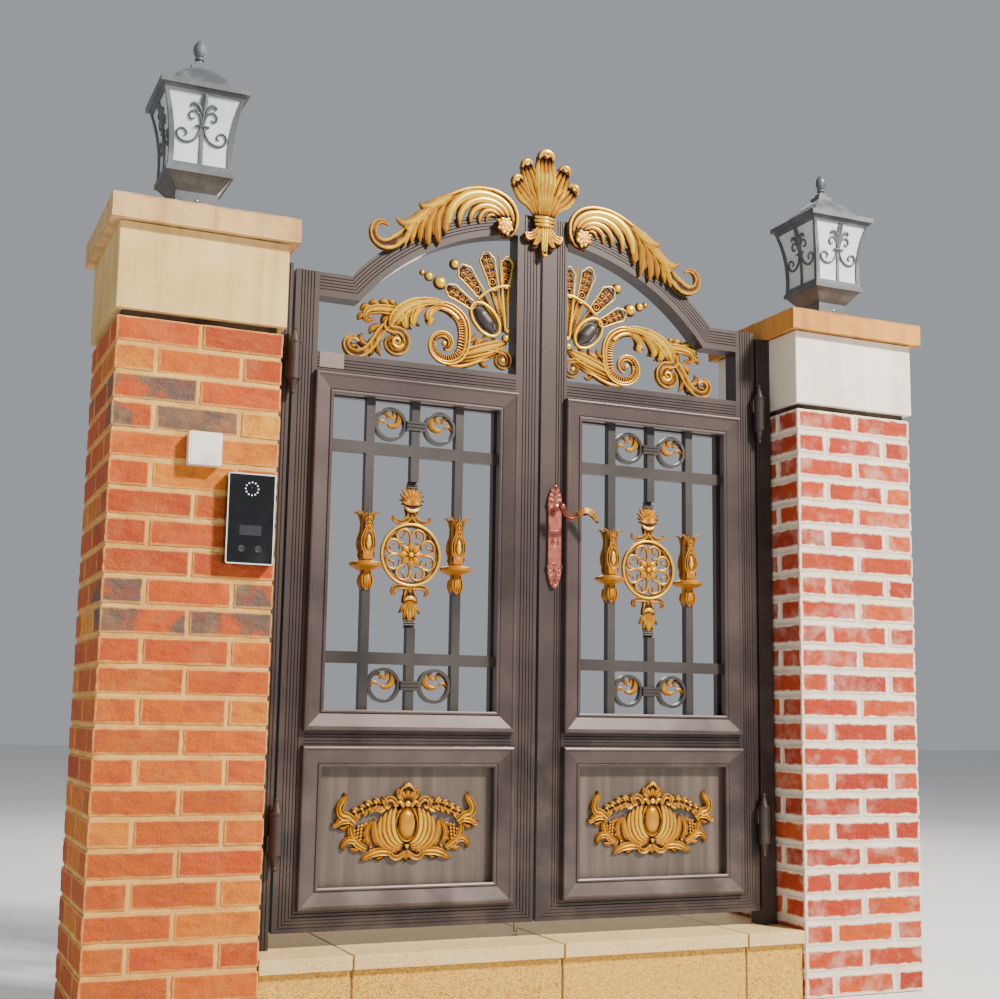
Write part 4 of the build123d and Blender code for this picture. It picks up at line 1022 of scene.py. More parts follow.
crest.strand([(28.6, -2.6), (31.4, 0.4), (35.4, 2), (39.6, 1.2), (42.6, -1.6), (43.8, -4.8)],
             [0.9, 1.4, 1.7, 1.7, 0.7], "round", 0.5)
crest.strand([(31.4, -2.4), (34.4, -0.8), (37.2, -1.6), (38.8, -4.4)], [0.8, 1.2, 1.2, 0.6], "round", 0.2)
hanging = [((46, 14), (56, 10.8), (63.6, 4.2), (67.6, -3.8), (68.8, -7.6)),
           ((57, 12.4), (65.6, 7.6), (71.4, 0.6), (74.6, -7), (75.8, -12)),
           ((65, 10.4), (72.8, 5.2), (78.4, -0.6), (82, -7), (83.2, -10.8)),
           ((71.6, 9), (78.6, 4.6), (84, -0.6), (87.6, -6.6)),
           ((78, 7.6), (84.6, 3.6), (90, -1), (93.2, -5.4)),
           ((84, 6.4), (89.6, 2.8), (94.6, -1), (98, -4.6))]
for order, points in enumerate(hanging):
    wide = 3.1 - 0.26 * order
    crest.strand(points, [wide * 0.5, wide * 0.9, wide, wide * 0.8, wide * 0.16], "ridge", 1.6 + 0.2 * order)
    notch = [(u + 2.6, v + 1.6) for u, v in points[1:-1]]
    crest.strand(notch, [wide * 0.3, wide * 0.6, wide * 0.2], "ridge", 2.0)
crest.strand([(52, 13.4), (62, 11.4), (72, 9), (82, 6.2), (92, 3.2)], [0.6, 1.6, 2, 2.2, 2.4], "ribbed", 2.4)
crest.strand([(58, 14), (66, 12.2), (72.6, 11.4), (76.2, 12.4), (78, 14.4)], [1.4, 2.6, 2.4, 1.8, 0.4],
             "ridge", 3.2)
crest.strand([(72, 10.4), (80, 8), (87, 6.8), (92, 8.2), (94.6, 12)], [1.4, 2.6, 2.4, 1.8, 0.4], "ridge",
             3.0)
crest.strand([(86, 4.6), (94, 2), (101, 0.8), (107, 1.6), (110.6, 5.6), (110.4, 11), (106.6, 14.8),
              (102, 14.2), (99.8, 10.6)],
             [1.8, 3.2, 4, 3.6, 2.8, 2.2, 1.9, 1.4, 0.7], "fluted", [1, 1.4, 1.6, 2, 2.4])
crest.strand([(88, 1), (94, -1.6), (99.6, -2.4)], [1.6, 1.6, 0.4], "ridge", 1)
knob_u, knob_v, knob_radius = 28.2, -9, 5.9
golden_angle = 2.39996
crest.bead(knob_u, knob_v, 5.8, 1.6)
for order in range(17):
    angle, reach = order * golden_angle, 1.28 * math.sqrt(order)
    lift = 1.8 + 4.8 * math.sqrt(max(0.02, 1 - (reach / knob_radius) ** 2))
    crest.bead(knob_u + reach * math.cos(angle), knob_v + reach * math.sin(angle), 1.2, lift)
crest_scroll = with_left(crest.build("right_gilt_crest", casting_back, crest_front), "gilt_crest")
print("crest scroll", triangles(crest_scroll["right"]), "triangles")


# %% [markdown]
# Behind each half of the arch spreads half a fan: shields with raised rims and filigree stand on beaded
# ribs that meet in a hub at the stile. Below it a great scroll with a toothed band rolls up, and acanthus
# trails outwards from its top into a rose-like volute and a curled tail.

# %% Fanlight ornament
fan_unit = 4.3355 * mm
fan_foot = 1828.3 * mm
right_stile_edge, left_stile_edge = 89.3 * mm, 80.3 * mm
fan_back, fan_front = -38 * mm, -62 * mm
beside_stile = upright(right_stile_edge, fan_foot, fan_unit)
fan = Casting(beside_stile, fan_unit)


def shield(low, tip, half):
    """Long shield: sunk plate, raised rim with a pointed head, and a filigree of curls and bars inside."""
    low, tip = np.array(low, float), np.array(tip, float)
    along = tip - low
    across = turned(along / np.linalg.norm(along), 90)

    def at(share, side):
        return low + along * share + across * side * half

    side_line = [(0.0, 0.5), (0.3, 0.78), (0.6, 0.96), (0.85, 1.06), (0.89, 0.82), (0.97, 0.62)]
    rim = [at(s, w) for s, w in side_line] + [at(1.05, 0)]
    rim += [at(s, -w) for s, w in reversed(side_line)] + [at(-0.05, 0)]
    fan.strand(rim, 0.58, "round", 2.7, True)
    fan.strand([at(0.0, 0), at(0.35, 0), at(0.7, 0), at(0.97, 0)],
               [half * 0.45, half * 0.78, half * 0.94, half * 0.6], "flat", 0.2)
    fan.loop(*at(0.2, 0), half * 0.42, half * 0.42, 0.42, "round", 1.6)
    fan.bead(*at(0.2, 0), half * 0.18, 0.8)
    for share in (0.42, 0.62, 0.8):
        for side in (1, -1):
            curl = spiral(at(share, side * 0.42), half * 0.3, 90 - side * 90, side * 330, 0.14, 7)
            fan.strand(curl, [0.4, 0.42, 0.3], "round", 1.6)
    for share in (0.33, 0.88):
        fan.strand([at(share, -0.72), at(share + 0.03, 0), at(share, 0.72)], 0.34, "round", 1.5)
    fan.strand([at(0.33, 0), at(0.6, 0), at(0.94, 0)], 0.34, "round", 1.5)


hub = (5.2, 32)
shield((5.4, 64), (4.6, 84.6), 4.0)
shield((14, 61.4), (21.4, 86), 5.0)
shield((24, 55.4), (39.6, 73.6), 5.3)
shield((30, 46.6), (49.6, 57.8), 4.5)
for low in ((5.6, 63), (14, 60.4), (23.4, 54.6)):
    fan.strand([hub, low], [1.4, 3.2], "fluted", 0.8)
    for order in range(11):
        fan.bead(*walk([hub, low], 0.16 + 0.078 * order)[0], 0.62, 1.2)
fan.strand([hub, (8.4, 62), (11.2, 88.4)], [0.9, 1.0, 0.3], "round", 2.2)
fan.strand([(2.2, 64.6), (9, 63.6), (14.6, 61.4), (20.8, 57.6), (26.8, 51.8)], [1.0, 1.2, 1.0, 1.2, 0.9],
           "round", 2.8)
for u, v, radius in ((44.0, 75.0, 3.9), (54.6, 60.2, 4.9), (62.6, 63.8, 3.4), (67.4, 66, 2.1)):
    fan.bead(u, v, radius, 0.6)
fan.loop(20.6, 38.6, 13.4, 8.4, 1.15, "round", 2.4, 48)
fan.loop(20.6, 38.6, 11.2, 6.3, 0.5, "round", 1.6, 48)

eye = (51, 17.6)
great = [(60, 42.8), (52, 43.8), (44.4, 41.2), (38.6, 36), (36.3, 29.4)] + spiral(eye, 15.3, 165, 455, 0.185,
                                                                                  14)
great_halves = [2.6, 3.6, 4.2, 4.3, 4.2, 4.1, 3.8, 3.5, 3.2, 2.9, 2.7, 2.6, 2.4, 2.3, 2.2, 2.0, 1.9, 1.7,
                1.4]


def beside(share, offset):
    """Point beside the middle line of the great scroll: offset 1 is its outer edge, -1 its inner one."""
    spot, heading = walk(great, share)
    half = np.interp(share, np.linspace(0, 1, len(great_halves)), great_halves)
    return spot + turned(heading, -90) * half * offset, half


fan.strand(great, great_halves, "flat", [0.6, 0.8, 0.8, 1, 1.2, 1.6])
along_scroll = [order / 26 for order in range(27)]
fan.strand([beside(s, 0.9)[0] for s in along_scroll], [0.6] + [0.8] * 12 + [0.7] * 6 + [0.5], "round",
           [1.8, 2.9, 2.9, 2.9, 2.9])


def flute(start, stop, offset, fill, lift):
    """Raised flute along part of the great scroll; fill is its width as a share of the scroll's."""
    run = [beside(s, offset) for s in along_scroll if start < s < stop]
    fan.strand([spot for spot, half in run], [half * fill for spot, half in run], "round", lift)


flute(-1, 2, 0.34, 0.36, [1.2, 1.7, 1.7, 1.9, 2.2, 2.4])
flute(0.58, 2, -0.46, 0.42, [1.2, 1.9, 2.2, 2.4])
flute(-1, 0.17, -0.4, 0.4, [1.2, 1.6, 1.8])
for order in range(34):
    share = 0.13 + 0.0142 * order
    fan.strand([beside(share, 0.1)[0], beside(share, -0.96)[0]], [0.46, 0.5], "round", 2.0)
fan.bead(51, 17.6, 1.9, 3)

fan.strand([(48, 44.8), (57, 46.2), (66, 45), (74, 42.2), (81, 37.6), (86.6, 31), (89, 25)],
           [1.2, 2.4, 3.2, 4.2, 5, 4.8, 2.6], "ribbed", [1.2, 2, 2.2, 2.2, 2, 1.8, 1.6])
curling = [((52, 43.4), (59, 40.6), (62.4, 36), (62, 31.4), (65, 32.4)),
           ((58, 45), (66.4, 42), (72.4, 36), (73.6, 29.6), (70.6, 27.6)),
           ((64, 45.4), (73, 41.6), (79, 35), (79.6, 27.6), (76.6, 24.4)),
           ((72, 43), (79.6, 38), (84, 31), (82.6, 24.4))]
for points in curling:
    fan.strand(points, [0.9, 2.4, 2.8, 2.3, 0.6], "ribbed", [1.4, 2, 2.6, 3, 1.8])
    fan.strand([(u - 2.4, v + 0.2) for u, v in points[1:]], [0.6, 1.4, 1.2, 0.4], "ridge", 1.6)
fan.strand([(84, 36), (92, 36), (100, 35.4), (106.6, 32.4), (106.4, 28), (100.6, 28.2)],
           [3.4, 3.6, 3.3, 2.8, 2, 0.8], "ribbed", 1.6)
outer_lobes = [((86, 38), (89, 41.6), (92.4, 42)), ((91, 38), (95, 41.4), (98.4, 40.8)),
               ((97.6, 37), (102, 40), (105.4, 38.2)),
               ((103, 35.4), (108, 36.6), (111, 33.4)), ((88, 33), (94, 30), (96, 25.8)),
               ((106, 31), (110.6, 29.6), (112.6, 26.6))]
for points in outer_lobes:
    fan.strand(points, [2.1, 2.4, 0.6], "ridge", 1.6)
rose = [(90, 30), (92, 25)] + spiral((86, 14), 9.6, 70, 330, 0.1, 10)
fan.strand(rose, [2.8, 2.8, 2.6, 2.4, 2.2, 1.6], "fluted", [1.4, 2, 2])
for start in range(60, 420, 72):
    fan.strand(spiral((86, 14), 6.6, start, 120, 0.5, 5), [2, 2.4, 1.6, 0.5], "ridge", [1.4, 2.4, 2])
fan.strand(spiral((85, 14.6), 4.4, 200, 480, 0.16, 10), [1.4, 1.3, 0.9], "round", 3.2)
tail = [(91, 27), (96, 21), (100.4, 14), (104.6, 8), (110, 4), (116, 3.6), (120, 7.4), (119.4, 12.4),
        (115.2, 14.4), (111.4, 12)]
fan.strand(tail, [2.6, 3, 3, 3, 3.2, 3, 2.6, 2.1, 1.6, 0.7], "fluted", [1.2, 1.4, 1.6, 2, 2.6])
hanging = [((95, 22), (98.6, 15), (98.4, 8.6), (95.6, 4)), ((99.4, 17), (103, 11), (102.6, 6), (104, 2.6)),
           ((104, 11), (108.4, 11), (110.6, 14.6), (109, 18)), ((97, 25), (102, 22), (104, 18)),
           ((112, 9), (116, 8.6), (117, 11))]
for points in hanging:
    fan.strand(points, [1.8, 2.8, 2.2, 0.5], "ridge", 1.4)
fan.strand([(40, 10), (30, 14), (20, 17.6), (10, 21.4), (4, 24)], [2.4, 4.2, 4.6, 3.6, 1.2], "ribbed",
           [1, 1.4, 1.4, 1.2])
fan.strand([(40, 5.6), (29, 8.6), (18.6, 12.6), (9.6, 17)], [1.4, 2.6, 2.8, 2], "ribbed", 1.4)
fan.strand([(24, 17), (15, 17.6)] + spiral((7.6, 10.6), 6.2, 90, 360, 0.1, 9), [1.7, 1.9, 1.9, 1.7, 1.3],
           "fluted", 2.2)
fan.bead(7.6, 10.6, 1.9, 3)
fan.strand([(13, 16.4), (26.6, 7.6), (39.2, 3), (48, 2.6)], [1.2, 1.5, 1.6, 1.4], "round", 1.6)
fan.strand([(20, 11), (23, 8.4), (21, 5.6), (17.6, 6.4)], [1.4, 1.7, 1.4, 0.6], "ridge", 1.4)
for u, v in ((6.4, 27), (13.6, 26.6), (21, 26.4), (28, 25.6)):
    fan.strand([(u + 7, 18.4), (u + 4.4, 22), (u + 1, 24), (u - 0.6, 28)], [1.7, 2.3, 1.7, 0.4], "ridge",
               1.8)
fan.bead(4.6, 27, 3, 1.2)
fan.bead(3.6, 32.4, 2.4, 1.6)
fan_shift = right_stile_edge - left_stile_edge
fanlight_ornament = with_left(fan.build("right_gilt_fan", fan_back, fan_front), "gilt_fan", fan_shift)
bulb = Casting(beside_stile, fan_unit)
bulb.strand([(28.4, 47.2), (23.6, 42), (17.8, 35.4), (13.4, 30.2)], [1.2, 5, 5.2, 1.4], "round", 0.6)
bulb_dark = with_left(bulb.build("right_fan_bulb", fan_back, fan_front), "fan_bulb", fan_shift)
print("fanlight ornament", triangles(fanlight_ornament["right"]), "triangles")


# %% [markdown]
# A palmette crowns the meeting line: five broad ribbed lobes whose tips roll forward like hoods, drawn
# together by three rings, over a drop of curling leaves. It is fixed to the right leaf and laps over the
# left one.

# %% Finial
finial_unit = 2.12 * mm
finial_collar = 2325.5 * mm
finial_back, finial_front = -86 * mm, -120 * mm

finial = Casting(upright(0, finial_collar, finial_unit), finial_unit)


def palmette_lobe(line, halves, ribs, hood, lift):
    """Broad lobe: a plate, a spread of ribs over it and a hood that rolls forward at its tip."""
    finial.strand(line, halves, "flat", 0.6)
    for order in range(ribs):
        side = 0.86 * (2 * order / (ribs - 1) - 1)
        run = []
        for share in (0.0, 0.3, 0.62, 0.95):
            spot, heading = walk(line, share)
            half = np.interp(share, np.linspace(0, 1, len(halves)), halves)
            run.append(spot + turned(heading, 90) * side * half)
        finial.strand(run, [1.4, 2.5, 3.4, 1.8], "ridge", [lift + 1, lift + 2.4, lift + 4, lift + 4.4])
    tip, heading = walk(line, 1.0)
    across = turned(heading, 90)

    def over_tip(rows):
        """A strand over the tip: each row is its place to the side and ahead, its width and its lift."""
        points = [tip + across * hood * side + heading * hood * ahead for side, ahead, width, high in rows]
        finial.strand(points, [hood * 0.36 * row[2] for row in rows], "round",
                      [lift + row[3] for row in rows])

    over_tip([(-0.86, -0.66, 0.3, 4), (-0.88, -0.16, 0.8, 7), (-0.56, 0.26, 1, 8), (0, 0.4, 1.15, 8.6),
              (0.56, 0.26, 1, 8), (0.88, -0.16, 0.8, 7), (0.86, -0.66, 0.3, 4)])
    over_tip([(-0.6, -0.1, 0.3, 8.4), (-0.3, -0.02, 0.5, 8.4), (0, -0.22, 0.55, 8.4), (0.3, -0.02, 0.5, 8.4),
              (0.6, -0.1, 0.3, 8.4)])


palmette_lobe([(0, 0), (0, 30), (0, 60), (0, 92)], [8, 11, 16, 12], 5, 11.6, 3.4)
for side in (-1, 1):
    palmette_lobe(sided(side, [(5, 0), (13, 28), (22, 54), (31, 75)]), [6, 10.5, 14, 8.4], 4, 8.8, 2.4)
    palmette_lobe(sided(side, [(9, 0), (19, 20), (33, 34), (46, 49)]), [5, 9.6, 13.6, 8.4], 4, 8.8, 1.6)
for level, half in ((-12, 14.6), (-6.6, 16), (-1.4, 15)):
    finial.strand([(-half, level), (0, level - 1), (half, level)], [1.9, 2.5, 1.9], "round", [5, 10.4, 5])
finial.strand([(-13, -6), (0, -7), (13, -6)], [7, 7.6, 7], "flat", [3, 7, 3])
for side in (-1, 1):
    outer = sided(side, [(6, -13), (12, -24), (21, -31), (28, -31), (30.6, -26.6)])
    finial.strand(outer, [5, 8, 7, 4.4, 2], "flat", 1)
    for order, width in enumerate((1.9, 2.1, 2.1)):
        offset = 4.2 * (order - 1)
        run = [(6 + offset * 0.4, -13), (12 + offset * 0.7, -24 + offset * 0.5), (20, -30 + offset),
               (27 - abs(offset) * 0.4, -30.6 + offset * 0.9), (29.6, -26.6 + offset * 0.3)]
        finial.strand(sided(side, run), [width, width, width, width, width * 0.5], "round",
                      [5, 4.6, 4, 4.4, 4.6])
    inner = sided(side, [(4, -13), (7, -26), (11, -38), (15, -44), (17, -41)])
    finial.strand(inner, [4, 6, 6, 4, 1.6], "flat", 1.4)
    for offset in (-2.9, 0, 2.9):
        run = [(4 + offset * 0.6, -13), (7 + offset, -26), (11 + offset, -37), (15 + offset * 0.6, -42.6)]
        finial.strand(sided(side, run), [1.4, 1.8, 1.8, 1.1], "round", [6, 5.6, 5, 5])
finial.strand([(0, -13), (0, -30), (0, -46), (0, -57)], [5.4, 6.4, 6, 3], "flat", 2.4)
for offset in (-3.2, 0, 3.2):
    finial.strand([(offset, -13), (offset * 1.1, -34), (offset * 0.9, -52)], [1.6, 2, 1.5], "round",
                  [7, 6.6, 6])
finial.strand([(-3, -50), (-2.6, -55.6), (0, -58), (2.6, -55.6), (3, -50)], [0.8, 1.7, 2, 1.7, 0.8], "round",
              [5, 7, 8, 7, 5])
finial_casting = finial.build("gilt_finial", finial_back, finial_front)
pad_low, pad_high = Vector((10.5, -86, 2261.9)) * mm, Vector((40.2, -80.3, 2317)) * mm
finial_pad = soften(plain_box("finial_pad", pad_high - pad_low, (pad_low + pad_high) / 2), 1.5 * mm)
print("finial", triangles(finial_casting), "triangles")


# %% [markdown]
# The roundel on the middle bar is openwork: a double rim, four pairs of foils whose ends hook inwards,
# and a faceted star. A burst of leaves stands on it and a leafy stem hangs from it, each ending in a
# square collar.

# %% Medallion
medallion_unit = 0.93 * mm
medallion_height = 1271.5 * mm
right_middle, left_middle = 392 * mm, 387.5 * mm
medallion_back, medallion_front = -38 * mm, -62 * mm
panel_shift = right_middle - left_middle
on_middle_bar = upright(right_middle, medallion_height, medallion_unit)
roundel = Casting(on_middle_bar, medallion_unit)


def polar(angle, side, *spots):
    """Points round the roundel: each spot is its distance and its turn from the angle, to one side."""
    return [turned((reach, 0), angle + side * turn) for reach, turn in spots]


roundel.loop(0, 0, 94.6, 94.6, 4.6, "round", 9, 0, 16)
roundel.loop(0, 0, 87, 87, 3.6, "flat", 6, 0, 16)
for quarter in range(0, 360, 90):
    for side in (-1, 1):
        hook = polar(quarter, side, (30, 3), (54, 1.5), (74, 7), (82, 19), (79, 33), (63, 43), (46, 40),
                     (40, 24))
        roundel.strand(hook, [3.2, 3.6, 3.8, 4, 4, 3.8, 3.4, 2], "round", [3, 4.4, 5, 5, 5, 4.6, 4, 3])
        curl = polar(quarter, side, (79, 12), (68, 17), (60, 24), (62, 32))
        roundel.strand(curl, [2.6, 3.2, 3, 1.6], "round", 2.6)
    roundel.strand(ray((0, 0), quarter + 45, 70, 84), [3, 9], "flat", 1.8)
for point in range(0, 360, 45):
    roundel.strand(ray((0, 0), point, 2, 24, 42 if point % 90 else 46), [6, 13, 0.8], "ridge", 6)
    roundel.strand(ray((0, 0), point + 22.5, 2, 16, 30), [5, 9, 0.8], "ridge", 4)
roundel.bead(0, 0, 9, 8)
for side in (-1, 1):
    roundel.strand(sided(side, [(4, 128), (12, 112), (26, 102), (44, 101), (58, 108), (61, 119)]),
                   [8, 9.6, 8.6, 6.6, 5, 2.4], "fluted", 6)
    roundel.strand(sided(side, [(5, -100), (24, -99), (44, -101), (55, -110), (54, -121), (46, -124)]),
                   [8, 9, 8, 6.6, 5.4, 3], "fluted", 6)
    roundel.strand(sided(side, [(11, -100), (15, -118), (20, -138), (21, -150)]), [4, 5, 5, 4], "round", 6)
    roundel.strand(sided(side, [(8, 108), (13, 124), (18, 140)]), [4, 5, 4], "round", 6)
roundel.strand([(0, 90), (0, 108), (0, 124), (0, 142)], [25, 20, 19, 24], "flat", 2)
roundel.strand([(0, 98), (0, 116), (0, 132)], [2, 6, 3], "ridge", 8)
roundel.strand([(-24, 152), (-17, 141), (0, 136), (17, 141), (24, 152)], [2, 5, 6, 5, 2], "round",
               [8, 11, 12, 11, 8])
roundel.strand([(-19, 156), (0, 150), (19, 156)], [5, 8, 5], "flat", 8)
burst = ((90, 64, 8.6), (72, 60, 8), (108, 60, 8), (54, 55, 7.6), (126, 55, 7.6), (36, 50, 7), (144, 50, 7),
         (17, 44, 6.4),
         (163, 44, 6.4), (-2, 37, 5.6), (182, 37, 5.6))
for order, (angle, reach, width) in enumerate(burst):
    roundel.strand(ray((0, 158), angle, 0, reach * 0.55, reach),
                   [width * 0.8, width, width * 0.14], "ridge", [9 + order % 2, 8, 4])
for angle in range(10, 180, 23):
    roundel.strand(ray((0, 156), angle, 0, 17, 34), [3.6, 5.4, 0.8], "ridge", [13, 13, 9])
roundel.strand([(0, -90), (0, -112), (0, -134)], [25, 20, 20], "flat", 2)
roundel.strand([(0, -94), (0, -112), (0, -128)], [5, 5.4, 3], "ridge", 8)
roundel.strand([(-20, -146), (-13, -137), (0, -133), (13, -137), (20, -146)], [3, 6, 7.4, 6, 3], "round",
               [7, 10, 12, 10, 7])
for angle, reach, width in ((-90, 72, 11), (-72, 62, 9.6), (-108, 62, 9.6), (-48, 52, 9), (-132, 52, 9)):
    roundel.strand(ray((0, -142), angle, 0, reach * 0.55, reach),
                   [width * 0.7, width, width * 0.14], "ribbed", [9, 8, 4])
roundel.strand([(0, -150), (0, -184), (0, -206)], [20, 17, 12], "flat", 2)
roundel.strand([(0, 172), (0, 190), (0, 205)], [13, 14, 14], "flat", 2)
roundel_casting = roundel.build("right_gilt_medallion", medallion_back, medallion_front)
medallions = with_left(roundel_casting, "gilt_medallion", panel_shift)
collars = Casting(on_middle_bar, medallion_unit)
for side in (-1, 1):
    for level, half, rise in ((202, 16.5, 4), (209, 17.4, 9), (216, 17.4, 9), (222, 16.5, 4)):
        collars.strand([(-half, side * level), (half, side * level)], 3.4, "round", rise)
bar_collars = with_left(collars.build("right_bar_collars", medallion_back, medallion_front), "bar_collars",
                        panel_shift)

# %% [markdown]
# A spear-like casting is sleeved over each side bar: a teardrop bulb outlined twice, curled tips above
# it, a turned dish below and a small cup under that. The dish and cup are turned; the bulb is laid on
# front and back.

# %% Spears
bar_offset = 137 * mm
bar_depth = -50 * mm
sleeve_half = 15.5 * mm


def lathe(name, outline, unit, place, steps=28):
    """Round body spun from an outline of half width and height."""
    data = bpy.data.curves.new(name, "CURVE")
    data.dimensions = "3D"
    line = data.splines.new("POLY")
    line.points.add(len(outline) - 1)
    for knot, (out, high) in zip(line.points, outline):
        knot.co = (out * unit, 0, high * unit, 1)
    body = bpy.data.objects.new(name, data)
    bpy.context.scene.collection.objects.link(body)
    select_only(body)
    bpy.ops.object.convert(target="MESH")
    body = bpy.context.object
    spun = body.modifiers.new("spun", "SCREW")
    spun.steps = spun.render_steps = steps
    spun.use_merge_vertices = True
    bpy.ops.object.modifier_apply(modifier="spun")
    with editing(body):
        bpy.ops.mesh.remove_doubles(threshold=0.01 * mm)
        bpy.ops.mesh.normals_make_consistent(inside=False)
    bpy.ops.object.shade_smooth_by_angle(angle=math.radians(40))
    body.location = place
    return settle(body)


def spear(x):
    """One spear round the bar whose middle is at x."""
    turning = [(0, -121), (9, -121), (13, -118), (15, -110), (20, -100), (23, -88), (21, -74), (16, -65),
               (16, -60), (26, -56), (40, -50),
               (49, -44), (50, -39), (49, -34), (40, -31), (24, -28), (19, -22), (17, -14), (16.4, 0),
               (16.4, 110), (0, 110)]
    body = lathe("spear_turning", turning, medallion_unit, (x, bar_depth, medallion_height))
    keep(body, "hollow", 0.55)
    face = Casting(upright(x, medallion_height, medallion_unit), medallion_unit)
    half_drop = [(13, -2), (21, 14), (22, 34), (17, 54), (10, 72), (6, 88)]
    drop = [(0, -8)] + half_drop + sided(-1, half_drop[::-1])
    face.strand(drop, 2.5, "round", 6, True)
    face.strand([(u * 0.66, 3 + v * 0.86) for u, v in drop], 2.1, "round", 8, True)
    face.strand([(0, 4), (0, 22), (0, 40), (0, 58)], [5, 11, 8, 1], "round", 5)
    face.strand([(0, -24), (0, 12), (0, 44), (0, 80), (0, 118)], [16, 19, 18, 15, 14], "flat", 3)
    for base in (52, 66, 80, 94):
        face.both([(0, base + 14), (7, base + 6), (13, base - 6)], [1.4, 2.2, 0.8], "round", 7.6)
    face.strand([(0, 58), (0, 90), (0, 126)], [2, 3, 0.8], "ridge", 9)
    face.both([(8, 84), (13, 98), (17, 110), (24, 119), (31, 121), (34, 116)], [2.4, 3.4, 3.4, 3, 2.4, 1.2],
              "ribbed", 5)
    face.both([(15, -22), (19, -8), (15, 6)], [1.6, 2.4, 0.8], "ridge", 4)
    for order in range(-2, 3):
        face.strand([(order * 5.4, -112), (order * 8.6, -90), (order * 7, -70)], [1.2, 3, 1.8], "round", 4)
    front = face.build("spear_face", bar_depth - sleeve_half, bar_depth - sleeve_half - 19 * mm)
    return joined("spear", [body, turned_back(front, "spear_rear", bar_depth), front])


spear_pair = joined("right_gilt_spears",
                    [spear(right_middle - bar_offset), spear(right_middle + bar_offset)])
spears = with_left(spear_pair, "gilt_spears", panel_shift)
print("medallion", triangles(medallions["right"]), "spears", triangles(spears["right"]), "triangles")


# %% [markdown]
# On each panel sits a cartouche: a tall oval boss in a deep shell of flutes that open like a lyre, a
# crown of leaves, leafy garlands out to upturned horns, bunches of berries and a row of base leaves.

# %% Cartouche
cartouche_unit = 4.2 * mm
cartouche_height = 525 * mm
cartouche_back, cartouche_front = -60.3 * mm, -78.3 * mm
on_panel = upright(right_middle, cartouche_height, cartouche_unit)

shell = Casting(on_panel, cartouche_unit)
shell.loop(0, -1.4, 7.5, 11.2, 0.6, "round", 1.5)
shell.strand([(0, -19.5), (0, -8), (0, 4), (0, 12)], [3, 11, 12.4, 5], "flat", -2.4)
flutes = ([(0.8, -14.6), (5.2, -12.6), (8.9, -6.6), (9.7, 0.6), (8.6, 7.4), (6.6, 10.6)],
          [(1, -16), (7, -14.2), (11.7, -8), (12.8, -0.6), (11.6, 6.2), (10, 9.4)],
          [(1.2, -17.4), (9, -15.6), (14.4, -9.4), (15.9, -2.4), (15.2, 3.6), (13.6, 7)],
          [(1.4, -18.6), (11, -17), (17, -11.4), (18.8, -5), (18.4, 0.4), (17, 4.4)])
for order, points in enumerate(flutes):
    lift = [0.6, 1.7 - 0.2 * order, 1.6 - 0.2 * order, 1.3 - 0.15 * order, 0.8, 0.5]
    shell.both(points, [0.7, 1.3, 1.7, 1.8, 1.5, 0.7], "round", lift)
shell.both([(2, -19.4), (12.6, -18), (19, -13), (21.8, -6.4), (22.6, -0.6), (22.6, 2.4)],
           [0.8, 2.2, 3.2, 3.2, 2, 0.3], "ridge", [0.4, 0.8, 1, 1, 0.8, 0.6])
shell.strand([(0, -14.6), (0, -17)], [1.3, 0.6], "ridge", 3)
shell.both([(7.4, 9.6), (9.6, 14), (13.4, 14.8), (15.4, 12), (13.6, 9.4), (11.8, 10.8)],
           [1.3, 1.9, 1.8, 1.6, 1.2, 0.7], "fluted", 1.8)
shell.both([(2.6, 9.6), (5, 12.4), (7.4, 12.6)], [1, 1.2, 0.5], "ridge", 2.6)
shell.loop(0, 17.2, 5.2, 6.2, 1.2, "round", 1.6)
shell.strand([(0, 10.4), (0, 14), (0, 17), (0, 20.4)], [3.4, 5, 4.6, 2], "flat", 0.6)
for angle in (38, 64, 90, 116, 142):
    shell.strand(ray((0, 11.4), angle, 1.6, 5.4, 8.6), [0.9, 1.5, 1.1], "ridge", [1.4, 2.2, 2.6])
shell.strand([(-2.6, 21.8), (-1.4, 23.6), (0, 24), (1.4, 23.6), (2.6, 21.8)], [0.6, 1.2, 1.5, 1.2, 0.6],
             "round", 2.6)
shell.bead(0, 11.6, 2.2, 2.2)
shell.bead(-3.4, 10.8, 1.5, 1.8)
shell.bead(3.4, 10.8, 1.5, 1.8)
shell.both([(4.6, 12.6), (7, 17), (6.4, 20), (4.6, 20.4)], [1.2, 1.7, 1.4, 0.6], "ridge", 1.8)
